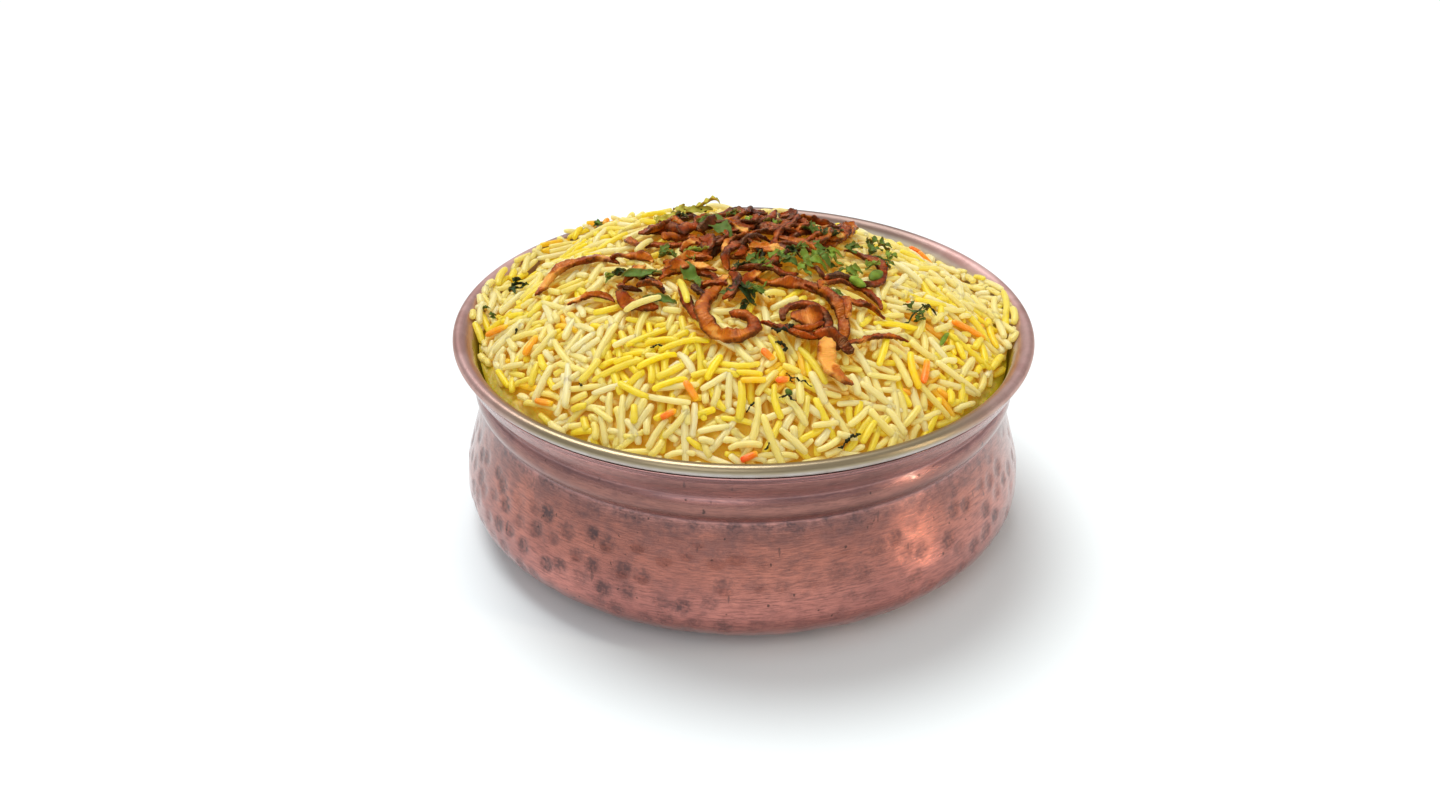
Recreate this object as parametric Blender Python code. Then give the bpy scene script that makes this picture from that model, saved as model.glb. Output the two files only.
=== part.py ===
"""Biryani heaped in a hammered copper serving bowl with a rolled steel liner.

The bowl is turned about +Z and rests on z = 0. A copper shell carries a steel
liner whose rim rolls over the copper's lip. The rice is one heap with an uneven
top, and curled strips of fried onion lie on it, each a solid of its own.
All sizes are in metres.
"""
import math
from collections import namedtuple

import bmesh
import bpy
from mathutils import Vector
from mathutils.bvhtree import BVHTree

MM = 0.001

# Driving dimensions
RIM_RADIUS = 90.0 * MM          # outside of the rolled rim
RIM_HEIGHT = 65.15 * MM         # top of the rolled rim
ROLL_RADIUS = 1.75 * MM         # the rolled rim's own radius
BELLY_RADIUS = 89.2 * MM        # widest part of the belly
BASE_RADIUS = 66.0 * MM         # flat that the bowl rests on
BELLY_HEIGHT = 14.4 * MM        # height of the widest part
COPPER = 1.1 * MM               # sheet thicknesses
STEEL = 0.8 * MM
GAP = 0.3 * MM                  # between pieces that touch
SEGMENTS = 48                   # round the bowl, a multiple of 4
CORNER_POINTS = 6               # down the round lower corner

# Neck, from the lip down: radius and height of the outside
LIP = (88.9 * MM, 61.3 * MM)
LIP_WIDTH = 1.3 * MM
TROUGH = (83.4 * MM, 51.3 * MM)
BEAD_RADIUS = 84.6 * MM         # half way down from the trough to the crease
CREASE = (82.4 * MM, 43.2 * MM)
UNDER_CREASE = (82.2 * MM, 42.6 * MM)
SHOULDER = (88.7 * MM, 20.5 * MM)
FLARE_POWER = 1.2               # over 1 opens the flare faster towards its lip
FLARE_STEPS = 4
BEAD_STEPS = 4

# Liner mouth: a quarter ellipse from the top of the roll down to the neck wall
MOUTH_REACH = 5.4 * MM
MOUTH_DROP = 10.0 * MM

# Rice heap
HEAP_RADIUS = 82.3 * MM
HEAP_EDGE = 58.4 * MM           # mean height of the rice at the wall
HEAP_TOP = 85.2 * MM            # height of the crown
HEAP_POWER = 3.0                # a higher power gives a flatter crown and a steeper edge
# (degrees round from +X, half width in degrees, rise of the edge)
EDGE_WAVES = (
    (180, 24, 2.6 * MM),
    (153, 10, -3.6 * MM),
    (125, 18, 3.0 * MM),
    (86, 17, -4.0 * MM),
    (46, 26, -2.6 * MM),
    (5, 15, 1.2 * MM),
    (-120, 22, 0.8 * MM),
)
SHOULDER_SWELL = (-47 * MM, 47 * MM, 25 * MM, 2.4 * MM)   # x, y, spread, rise
# Low waves over the heap that die out at the wall: lumps, a sine of x times a sine of y,
# and slanting folds, a sine of x + y
LUMP_RISE = 0.7 * MM
LUMP_LENGTHS = (4.1 * MM, 4.7 * MM)
LUMP_PHASES = (1.3, 0.4)
FOLD_RISE = 0.5 * MM
FOLD_LENGTH = 7.3 * MM
FOLD_PHASE = 2.1
WAVE_FADE = 6                   # power of the reach at which the waves die out
HEAP_RINGS = (1, 0.965, 0.91, 0.83, 0.73, 0.61, 0.48, 0.35, 0.22, 0.1, 0)   # over its radius

# Fried onion: a strip starts at x, y and runs on at an angle that turns along it
Strip = namedtuple("Strip", "name x y heading length turn coil width")
STRIP_THICKNESS = 1.2 * MM
STRIP_STATIONS = 11
STRIP_END_WIDTH = 0.55          # over its width in the middle
ONION_STRIPS = (
    # the dark tangle on the crown, laid first
    Strip("tangle_left", -37, 18, -84, 27, 110, 0, 4.2),
    Strip("tangle_back", -14, 34, 12, 22, -30, 0, 4.5),
    Strip("tangle_far_left", -32, 20, -25, 18, 10, 40, 4.4),
    Strip("tangle_loop", -19, 0, 75, 28, -150, 0, 4.2),
    Strip("tangle_mid", -17, 14, 65, 26, -140, 20, 4.2),
    Strip("tangle_front_left", -27, -15, 45, 26, -130, 0, 4.0),
    Strip("tangle_front", -6, -6, 15, 20, 40, 0, 4.2),
    Strip("tangle_centre", -6, 9, 30, 24, -40, 20, 4.8),
    Strip("tangle_right", 8, 2, 55, 33, -25, 10, 4.4),
    Strip("tangle_far_right", 14, 3, 0, 24, 75, 0, 4.2),
    Strip("tangle_under", 0, 24, -60, 26, 90, 0, 4.4),
    Strip("tangle_knot", -2, 18, 100, 24, 220, 0, 3.6),
    Strip("tangle_cross", 22, 26, -150, 26, 60, 0, 3.8),
    Strip("tangle_rear", 2, 30, -10, 22, -45, 0, 4.2),
    # strips that lie in the open, left to right
    Strip("left_long", -63, -9, 78, 32, -130, 0, 4.0),
    Strip("left_thin", -52, -22, 38, 17, -100, 0, 2.4),
    Strip("left_hook", -36, -19, -98, 20, 100, 0, 4.6),
    Strip("curl_back", -18, -20, -90, 25, 35, 0, 3.6),
    Strip("curl", -5, -19, -110, 55, -100, 420, 5.0),
    Strip("wave_left", -4, -31, 72, 28, 35, -115, 3.4),
    Strip("wave_right", 2, -20, 0, 30, 0, -85, 4.4),
    Strip("right_arc", 18, -23, -28, 30, -75, -20, 4.0),
    Strip("ring", 11.4, -40, 100, 39, -345, 0, 3.2),
    Strip("front_thin", 5, -42, -15, 17, -50, 70, 2.4),
    Strip("dark_fold", 20, -46, 20, 12, -90, 0, 5.4),
    Strip("pale_end", 24, -47, -105, 16, 20, 110, 6.0),
    Strip("right_thin", 28, -49, 48, 23, -15, -40, 2.2),
    Strip("right_strip", 27, -33, 66, 17, -120, 0, 2.8),
    Strip("back_arc", 22, -27, 92, 29, -180, 0, 3.6),
    Strip("far_arc", 31, 5, -5, 34, -160, 0, 3.6),
)
LAY_STEP = 1.0 * MM             # spacing of the points where a strip feels what is under it
LAY_GAP = 0.45 * MM             # under a laid strip
LAY_REACH = 4                   # points each way over which a strip bridges a dip
LAY_FEELERS = (-1.1, -0.55, 0, 0.55, 1.1)   # where it feels across, over its half width


# Materials

def material(name, colour, roughness, metallic=0.0):
    """One plain Principled finish."""
    made = bpy.data.materials.new(name)
    made.use_nodes = True
    shader = made.node_tree.nodes["Principled BSDF"]
    shader.inputs["Base Color"].default_value = (*colour, 1.0)
    shader.inputs["Roughness"].default_value = roughness
    shader.inputs["Metallic"].default_value = metallic
    made.diffuse_color = (*colour, 1.0)
    return made


def place(name, mesh_maker, finish, sharp=35):
    """Turn a bmesh into a named object with its finish and smooth shading."""
    mesh = bpy.data.meshes.new(name)
    bmesh.ops.recalc_face_normals(mesh_maker, faces=mesh_maker.faces)
    mesh_maker.to_mesh(mesh)
    mesh_maker.free()
    mesh.shade_smooth()
    mesh.set_sharp_from_angle(angle=math.radians(sharp))
    mesh.materials.append(finish)
    made = bpy.data.objects.new(name, mesh)
    bpy.context.scene.collection.objects.link(made)
    return made


# Turned pieces

def arc(centre, radii, start, end, count):
    """Points on an ellipse arc, from start to end in degrees, both included."""
    points = []
    for step in range(count):
        angle = math.radians(start + (end - start) * step / (count - 1))
        points.append((centre[0] + radii[0] * math.cos(angle),
                       centre[1] + radii[1] * math.sin(angle)))
    return points


def turned(profile):
    """Spin a profile of (radius, height) points, from pole to pole, once round +Z."""
    made = bmesh.new()
    row = [made.verts.new((radius, 0, height)) for radius, height in profile]
    edges = [made.edges.new(pair) for pair in zip(row, row[1:])]
    bmesh.ops.spin(made, geom=row + edges, cent=(0, 0, 0), axis=(0, 0, 1),
                   angle=math.tau, steps=SEGMENTS, use_merge=True)
    bmesh.ops.remove_doubles(made, verts=made.verts, dist=1e-6)
    return made


def corner(depth, count):
    """The belly's lower corner, a quarter ellipse from its widest point to the base,
    moved inwards by a sheet depth."""
    width = BELLY_RADIUS - BASE_RADIUS - depth
    return arc((BASE_RADIUS, BELLY_HEIGHT), (width, BELLY_HEIGHT - depth), 0, -90, count)


def flare():
    """Outside of the neck from the lip in to the trough."""
    points = []
    for step in range(FLARE_STEPS):
        left = 1 - step / FLARE_STEPS
        points.append((TROUGH[0] + (LIP[0] - TROUGH[0]) * left ** FLARE_POWER,
                       TROUGH[1] + (LIP[1] - TROUGH[1]) * left))
    return points


def bead():
    """The rolled bead round the neck: a half wave out from the trough to the crease."""
    points = []
    swell = BEAD_RADIUS - (TROUGH[0] + CREASE[0]) / 2
    for step in range(BEAD_STEPS + 1):
        share = step / BEAD_STEPS
        straight = TROUGH[0] + (CREASE[0] - TROUGH[0]) * share
        points.append((straight + swell * math.sin(math.pi * share),
                       TROUGH[1] + (CREASE[1] - TROUGH[1]) * share))
    return points


def make_copper_shell(finish):
    """The hammered outer bowl: lip, flare, bead, straight belly, round corner, flat base."""
    outside = flare() + bead() + [UNDER_CREASE, SHOULDER] + corner(0, CORNER_POINTS)
    half_way = flare()[FLARE_STEPS // 2]
    inside = [(LIP[0] - LIP_WIDTH, LIP[1])]
    inside += [(radius - COPPER, height) for radius, height in (half_way, TROUGH, UNDER_CREASE)]
    inside += corner(COPPER, CORNER_POINTS)
    profile = [(0, 0)] + list(reversed(outside)) + inside + [(0, COPPER)]
    return place("copper_shell", turned(profile), finish)


def mouth(depth, angles):
    """The liner's mouth: a quarter ellipse down from the roll, moved out by a depth.
    Angles run from 0 at the roll's top to 90 at the neck wall."""
    centre = (RIM_RADIUS - ROLL_RADIUS, RIM_HEIGHT - MOUTH_DROP)
    radii = (MOUTH_REACH - depth, MOUTH_DROP - depth)
    return [(centre[0] - radii[0] * math.sin(math.radians(angle)),
             centre[1] + radii[1] * math.cos(math.radians(angle))) for angle in angles]


def liner_wall(depth):
    """The liner below its mouth, moved out by a depth, down to the floor's edge."""
    inset = COPPER + GAP + STEEL - depth
    neck = [(radius - inset, height) for radius, height in (TROUGH, UNDER_CREASE)]
    return neck + corner(inset, CORNER_POINTS)


def make_steel_liner(finish):
    """The inner bowl, with its rim rolled outwards over the copper's lip."""
    roll_centre = (RIM_RADIUS - ROLL_RADIUS, RIM_HEIGHT - ROLL_RADIUS)
    floor = COPPER + GAP
    outside = list(reversed(mouth(STEEL, (24, 45, 66, 90)) + liner_wall(STEEL)))
    roll = arc(roll_centre, (ROLL_RADIUS, ROLL_RADIUS), -180, 90, 7)
    inside = mouth(0, (22, 42, 60, 76, 90)) + liner_wall(0)
    profile = [(0, floor)] + outside + roll + inside + [(0, floor + STEEL)]
    return place("steel_liner", turned(profile), finish, sharp=50)


# Rice

def heap_height(x, y):
    """Height of the rice over a point: a dome whose edge rises and dips round the bowl,
    one shoulder swollen, with low waves all over."""
    reach = min(math.hypot(x, y) / HEAP_RADIUS, 1.0)
    bearing = math.degrees(math.atan2(y, x))
    edge = HEAP_EDGE
    for centre, spread, rise in EDGE_WAVES:
        away = (bearing - centre + 180) % 360 - 180
        edge += rise * math.exp(-(away / spread) ** 2)
    height = edge + (HEAP_TOP - edge) * (1 - reach ** HEAP_POWER)
    swell_x, swell_y, spread, rise = SHOULDER_SWELL
    height += rise * math.exp(-((x - swell_x) ** 2 + (y - swell_y) ** 2) / spread ** 2)
    inner = 1 - reach ** WAVE_FADE
    across = math.sin(x / LUMP_LENGTHS[0] + LUMP_PHASES[0])
    away = math.sin(y / LUMP_LENGTHS[1] + LUMP_PHASES[1])
    height += LUMP_RISE * inner * across * away
    height += FOLD_RISE * inner * math.sin((x + y) / FOLD_LENGTH + FOLD_PHASE)
    return height


def make_rice_heap(finish):
    """The rice fills the liner up to its uneven top: a turned blank is made with a flat
    top, and then each point of the top is raised to the heap's height."""
    side = [(radius - GAP, height) for radius, height in liner_wall(0)]
    side[-1] = (side[-1][0], side[-1][1] + GAP)
    blank = [(0, side[-1][1])] + list(reversed(side))
    made = turned(blank + [(HEAP_RADIUS * share, RIM_HEIGHT) for share in HEAP_RINGS])
    for vert in made.verts:
        if vert.co.z > RIM_HEIGHT - 1e-6:
            vert.co.z = heap_height(vert.co.x, vert.co.y)
    bmesh.ops.triangulate(made, faces=made.faces)
    return place("rice_heap", made, finish, sharp=60)


# Fried onion

def strip_path(strip):
    """Points every LAY_STEP along a strip in plan. Its heading is
    heading + turn * s + coil * s^2 in degrees, with s from 0 to 1 along it."""
    steps = round(strip.length * MM / LAY_STEP)
    x, y = strip.x * MM, strip.y * MM
    points = [(x, y)]
    for step in range(steps):
        share = (step + 0.5) / steps
        angle = math.radians(strip.heading + strip.turn * share + strip.coil * share ** 2)
        x += LAY_STEP * math.cos(angle)
        y += LAY_STEP * math.sin(angle)
        points.append((x, y))
    return points


def heap_slope(x, y):
    """Upward normal of the heap, smoothed over a few millimetres."""
    reach = 3 * MM
    return Vector((heap_height(x - reach, y) - heap_height(x + reach, y),
                   heap_height(x, y - reach) - heap_height(x, y + reach),
                   2 * reach)).normalized()


def top_of(trees, x, y):
    """Highest point over x, y of everything laid so far."""
    start = Vector((x, y, 2 * RIM_HEIGHT))
    hits = [tree.ray_cast(start, Vector((0, 0, -1)))[0] for tree in trees]
    return max(hit.z for hit in hits if hit is not None)


def lay_strip(strip, trees):
    """Lay a strip over what is there. At each point its height clears everything under
    its width; over LAY_REACH points each way it takes the highest of these, and then
    their mean, so that it bridges dips and never cuts in."""
    plan = strip_path(strip)
    half = strip.width * MM / 2
    frames = []
    for index, (x, y) in enumerate(plan):
        ahead = plan[min(index + 1, len(plan) - 1)]
        behind = plan[max(index - 1, 0)]
        along = Vector((ahead[0] - behind[0], ahead[1] - behind[1], 0)).normalized()
        up = heap_slope(x, y)
        across = along.cross(up).normalized()
        need = 0
        for share in LAY_FEELERS:
            offset = across * half * share
            under = top_of(trees, x + offset.x, y + offset.y)
            need = max(need, under - offset.z)
        lift = (LAY_GAP + STRIP_THICKNESS / 2) / up.z
        frames.append((x, y, need + lift, across, up))
    needs = [frame[2] for frame in frames]
    count = len(needs)

    def window(values, index):
        return values[max(index - LAY_REACH, 0):min(index + LAY_REACH + 1, count)]

    highest = [max(window(needs, index)) for index in range(count)]
    heights = [sum(window(highest, index)) / len(window(highest, index)) for index in range(count)]
    return [(Vector((x, y, height)), across, up)
            for (x, y, _, across, up), height in zip(frames, heights)]


def make_strip(strip, trees, finish):
    """One onion strip: a flat section carried along its laid path, narrower at its ends."""
    laid = lay_strip(strip, trees)
    made = bmesh.new()
    rows = []
    for station in range(STRIP_STATIONS):
        share = station / (STRIP_STATIONS - 1)
        centre, across, up = laid[round(share * (len(laid) - 1))]
        taper = STRIP_END_WIDTH + (1 - STRIP_END_WIDTH) * math.sin(math.pi * share) ** 0.5
        side = across * strip.width * MM / 2 * taper
        rise = up * STRIP_THICKNESS / 2
        corners = (centre - side - rise, centre + side - rise,
                   centre + side + rise, centre - side + rise)
        rows.append([made.verts.new(corner_point) for corner_point in corners])
    for near, far in zip(rows, rows[1:]):
        for index in range(4):
            after = (index + 1) % 4
            made.faces.new((near[index], near[after], far[after], far[index]))
    made.faces.new(rows[0])
    made.faces.new(reversed(rows[-1]))
    bmesh.ops.triangulate(made, faces=made.faces)
    bmesh.ops.recalc_face_normals(made, faces=made.faces)
    trees.append(BVHTree.FromBMesh(made))
    return place("onion_" + strip.name, made, finish, sharp=60)


def main():
    for old in list(bpy.data.objects):
        bpy.data.objects.remove(old, do_unlink=True)
    make_copper_shell(material("copper", (0.40, 0.16, 0.12), 0.35, 1.0))
    make_steel_liner(material("steel", (0.62, 0.56, 0.48), 0.25, 1.0))
    heap = make_rice_heap(material("rice", (0.83, 0.68, 0.28), 0.6))
    heap_shape = bmesh.new()
    heap_shape.from_mesh(heap.data)
    trees = [BVHTree.FromBMesh(heap_shape)]
    heap_shape.free()
    for strip in ONION_STRIPS:
        brown = material("fried_" + strip.name, (0.30, 0.07, 0.015), 0.4)
        make_strip(strip, trees, brown)


main()
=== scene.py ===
"""Looks of a biryani heaped in a hammered copper serving bowl.

The bowl's surfaces, the grains, the fried onion and the herbs are worked out with
numpy in metres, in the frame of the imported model. Grains and toppings are laid one
after another on a height field, so that each rests on what is already there.
"""
import math
from collections import namedtuple

import bmesh
import bpy
import numpy as np
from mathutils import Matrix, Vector


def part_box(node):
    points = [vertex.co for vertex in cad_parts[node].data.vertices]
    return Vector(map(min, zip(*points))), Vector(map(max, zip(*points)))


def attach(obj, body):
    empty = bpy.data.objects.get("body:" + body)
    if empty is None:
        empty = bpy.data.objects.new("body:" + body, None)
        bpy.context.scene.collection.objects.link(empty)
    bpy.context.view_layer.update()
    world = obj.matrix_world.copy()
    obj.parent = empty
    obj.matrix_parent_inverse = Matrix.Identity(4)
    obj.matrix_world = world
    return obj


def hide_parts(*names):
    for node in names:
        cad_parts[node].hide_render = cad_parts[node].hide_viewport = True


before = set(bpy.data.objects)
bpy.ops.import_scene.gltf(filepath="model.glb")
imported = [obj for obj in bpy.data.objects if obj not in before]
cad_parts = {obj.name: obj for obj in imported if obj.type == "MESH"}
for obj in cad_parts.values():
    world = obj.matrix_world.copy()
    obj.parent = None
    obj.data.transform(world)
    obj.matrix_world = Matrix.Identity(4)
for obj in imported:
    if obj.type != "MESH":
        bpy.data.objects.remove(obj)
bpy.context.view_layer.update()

MM = 0.001
rng = np.random.default_rng(20)

# Sizes: the first four read from the frame, the rest given
BASE_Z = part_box("copper_shell")[0][2]
RIM_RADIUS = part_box("steel_liner")[1][0]
RIM_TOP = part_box("steel_liner")[1][2]
LIP_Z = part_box("copper_shell")[1][2]
BELLY_RADIUS = 89.2 * MM
BASE_RADIUS = 66.0 * MM
BELLY_Z = 14.4 * MM
ROLL_RADIUS = 1.75 * MM
COPPER = 1.1 * MM
STEEL = 0.8 * MM
GAP = 0.3 * MM

# Neck, as radius and height of the outside
LIP = (88.9 * MM, LIP_Z)
TROUGH = (83.4 * MM, 51.3 * MM)
BEAD_RADIUS = 84.6 * MM
CREASE = (82.4 * MM, 43.2 * MM)
SHOULDER = (88.7 * MM, 20.5 * MM)
FLARE_POWER = 1.2
MOUTH_REACH = 5.4 * MM
MOUTH_DROP = 10.0 * MM

# Rice heap
HEAP_RADIUS = 82.3 * MM
HEAP_EDGE = 58.4 * MM
HEAP_TOP = 85.2 * MM
HEAP_POWER = 3.0
# (degrees round from +X, half width in degrees, rise of the edge)
EDGE_WAVES = (
    (180, 24, 2.6 * MM), (153, 10, -3.6 * MM), (125, 18, 3.0 * MM), (86, 17, -4.0 * MM),
    (46, 26, -2.6 * MM), (5, 15, 1.2 * MM), (-120, 22, 0.8 * MM),
)
SHOULDER_SWELL = (-47 * MM, 47 * MM, 25 * MM, 2.4 * MM)

# Fried onion strips, as the solids have them: start, heading, length, turn and coil
Strip = namedtuple("Strip", "name x y heading length turn coil width")
STRIP_THICKNESS = 1.2 * MM
ONION_STRIPS = (
    Strip("tangle_left", -37, 18, -84, 27, 110, 0, 4.2),
    Strip("tangle_back", -14, 34, 12, 22, -30, 0, 4.5),
    Strip("tangle_far_left", -32, 20, -25, 18, 10, 40, 4.4),
    Strip("tangle_loop", -19, 0, 75, 28, -150, 0, 4.2),
    Strip("tangle_mid", -17, 14, 65, 26, -140, 20, 4.2),
    Strip("tangle_front_left", -27, -15, 45, 26, -130, 0, 4.0),
    Strip("tangle_front", -6, -6, 15, 20, 40, 0, 4.2),
    Strip("tangle_centre", -6, 9, 30, 24, -40, 20, 4.8),
    Strip("tangle_right", 8, 2, 55, 33, -25, 10, 4.4),
    Strip("tangle_far_right", 14, 3, 0, 24, 75, 0, 4.2),
    Strip("tangle_under", 0, 24, -60, 26, 90, 0, 4.4),
    Strip("tangle_knot", -2, 18, 100, 24, 220, 0, 3.6),
    Strip("tangle_cross", 22, 26, -150, 26, 60, 0, 3.8),
    Strip("tangle_rear", 2, 30, -10, 22, -45, 0, 4.2),
    Strip("left_long", -63, -9, 78, 32, -130, 0, 4.0),
    Strip("left_thin", -52, -22, 38, 17, -100, 0, 2.4),
    Strip("left_hook", -36, -19, -98, 20, 100, 0, 4.6),
    Strip("curl_back", -18, -20, -90, 25, 35, 0, 3.6),
    Strip("curl", -5, -19, -110, 55, -100, 420, 5.0),
    Strip("wave_left", -4, -31, 72, 28, 35, -115, 3.4),
    Strip("wave_right", 2, -20, 0, 30, 0, -85, 4.4),
    Strip("right_arc", 18, -23, -28, 30, -75, -20, 4.0),
    Strip("ring", 11.4, -40, 100, 39, -345, 0, 3.2),
    Strip("front_thin", 5, -42, -15, 17, -50, 70, 2.4),
    Strip("dark_fold", 20, -46, 20, 12, -90, 0, 5.4),
    Strip("pale_end", 24, -47, -105, 16, 20, 110, 6.0),
    Strip("right_thin", 28, -49, 48, 23, -15, -40, 2.2),
    Strip("right_strip", 27, -33, 66, 17, -120, 0, 2.8),
    Strip("back_arc", 22, -27, 92, 29, -180, 0, 3.6),
    Strip("far_arc", 31, 5, -5, 34, -160, 0, 3.6),
)


# ---------------------------------------------------------------- mesh helpers

def mesh_from(name, points, quads, triangles=(), colours=None, masks=None, uv=None):
    """A smooth mesh object from arrays of points, four-sided and three-sided faces,
    with an optional colour, named 0 to 1 masks and a UV pair at each point."""
    quads = np.asarray(quads, dtype=np.int32).reshape(-1, 4)
    triangles = np.asarray(triangles, dtype=np.int32).reshape(-1, 3)
    loops = np.concatenate([quads.ravel(), triangles.ravel()])
    sizes = np.concatenate([np.full(len(quads), 4), np.full(len(triangles), 3)])
    starts = np.concatenate([[0], np.cumsum(sizes)[:-1]])
    mesh = bpy.data.meshes.new(name)
    mesh.vertices.add(len(points))
    mesh.vertices.foreach_set("co", np.asarray(points, dtype=np.float32).ravel())
    mesh.loops.add(len(loops))
    mesh.loops.foreach_set("vertex_index", loops.astype(np.int32))
    mesh.polygons.add(len(sizes))
    mesh.polygons.foreach_set("loop_start", starts.astype(np.int32))
    mesh.polygons.foreach_set("loop_total", sizes.astype(np.int32))
    mesh.update(calc_edges=True)
    mesh.shade_smooth()
    if colours is not None:
        layer = mesh.color_attributes.new("tint", "FLOAT_COLOR", "POINT")
        rgba = np.ones((len(points), 4), dtype=np.float32)
        rgba[:, :3] = colours
        layer.data.foreach_set("color", rgba.ravel())
    for mask_name, values in (masks or {}).items():
        layer = mesh.attributes.new(mask_name, "FLOAT", "POINT")
        layer.data.foreach_set("value", np.asarray(values, dtype=np.float32).ravel())
    if uv is not None:
        layer = mesh.uv_layers.new(name="along")
        layer.data.foreach_set("uv", np.asarray(uv, dtype=np.float32)[loops].ravel())
    made = bpy.data.objects.new(name, mesh)
    bpy.context.scene.collection.objects.link(made)
    return made


def grid_faces(rows, columns, closed_rows=False, closed_columns=False):
    """Four-sided faces of a rows x columns grid of points, joined end to end if closed."""
    row = np.arange(rows if closed_rows else rows - 1)
    column = np.arange(columns if closed_columns else columns - 1)
    row, column = np.meshgrid(row, column, indexing="ij")
    after_row = (row + 1) % rows
    after_column = (column + 1) % columns
    return np.stack([row * columns + column, row * columns + after_column,
                     after_row * columns + after_column, after_row * columns + column],
                    axis=-1).reshape(-1, 4)


def end_caps(rings, sections, first_tip):
    """Triangles from the first and the last of some rings to the points at both tips,
    which are numbered first_tip and first_tip + 1."""
    ring = np.arange(sections)
    after = (ring + 1) % sections
    last = (rings - 1) * sections
    return np.concatenate([
        np.stack([after, ring, np.full(sections, first_tip)], axis=1),
        np.stack([ring + last, after + last, np.full(sections, first_tip + 1)], axis=1)])


def turn_out(mesh, close=False):
    """Turn a mesh's faces outwards, if asked after merging its doubles and bridging its
    open ends."""
    work = bmesh.new()
    work.from_mesh(mesh)
    if close:
        bmesh.ops.remove_doubles(work, verts=work.verts, dist=1e-6)
        bmesh.ops.holes_fill(work, edges=[edge for edge in work.edges if edge.is_boundary], sides=0)
    bmesh.ops.recalc_face_normals(work, faces=work.faces)
    work.to_mesh(mesh)
    work.free()


def finish_piece(piece, slot_name, finish, *nodes):
    """Give a piece its finish, let it ride on the one body and stand for its solids."""
    piece.data.materials.clear()
    piece.data.materials.append(finish)
    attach(piece, "root")
    if nodes:
        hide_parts(*nodes)
    return piece


def smooth_noise(x, y, scale, seed):
    """Soft noise from -1 to 1: the mean of six plane waves of that wavelength, each in
    its own direction and phase."""
    waves = np.random.default_rng(seed)
    total = np.zeros_like(x)
    for _ in range(6):
        angle = waves.uniform(0, math.tau)
        stretch = waves.uniform(0.7, 1.4)
        phase = waves.uniform(0, math.tau)
        along = x * math.cos(angle) + y * math.sin(angle)
        total += np.sin(math.tau * along / (scale * stretch) + phase)
    return total / 6 * 1.8


# ---------------------------------------------------------------- material helpers

def noise_group():
    """Noise in object space, which every finish shares: its inputs are the stretch along
    each axis, the scale in 1/metres, the detail and the roughness."""
    group = bpy.data.node_groups.new("object_noise", "ShaderNodeTree")
    for name, kind in (("Stretch", "NodeSocketVector"), ("Scale", "NodeSocketFloat"),
                       ("Detail", "NodeSocketFloat"), ("Roughness", "NodeSocketFloat")):
        group.interface.new_socket(name, in_out="INPUT", socket_type=kind)
    group.interface.new_socket("Value", in_out="OUTPUT", socket_type="NodeSocketFloat")
    given = group.nodes.new("NodeGroupInput")
    result = group.nodes.new("NodeGroupOutput")
    place = group.nodes.new("ShaderNodeTexCoord")
    stretch = group.nodes.new("ShaderNodeMapping")
    texture = group.nodes.new("ShaderNodeTexNoise")
    group.links.new(place.outputs["Object"], stretch.inputs["Vector"])
    group.links.new(given.outputs["Stretch"], stretch.inputs["Scale"])
    group.links.new(stretch.outputs["Vector"], texture.inputs["Vector"])
    for name in ("Scale", "Detail", "Roughness"):
        group.links.new(given.outputs[name], texture.inputs[name])
    group.links.new(texture.outputs["Fac"], result.inputs["Value"])
    return group


object_noise = noise_group()


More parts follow.
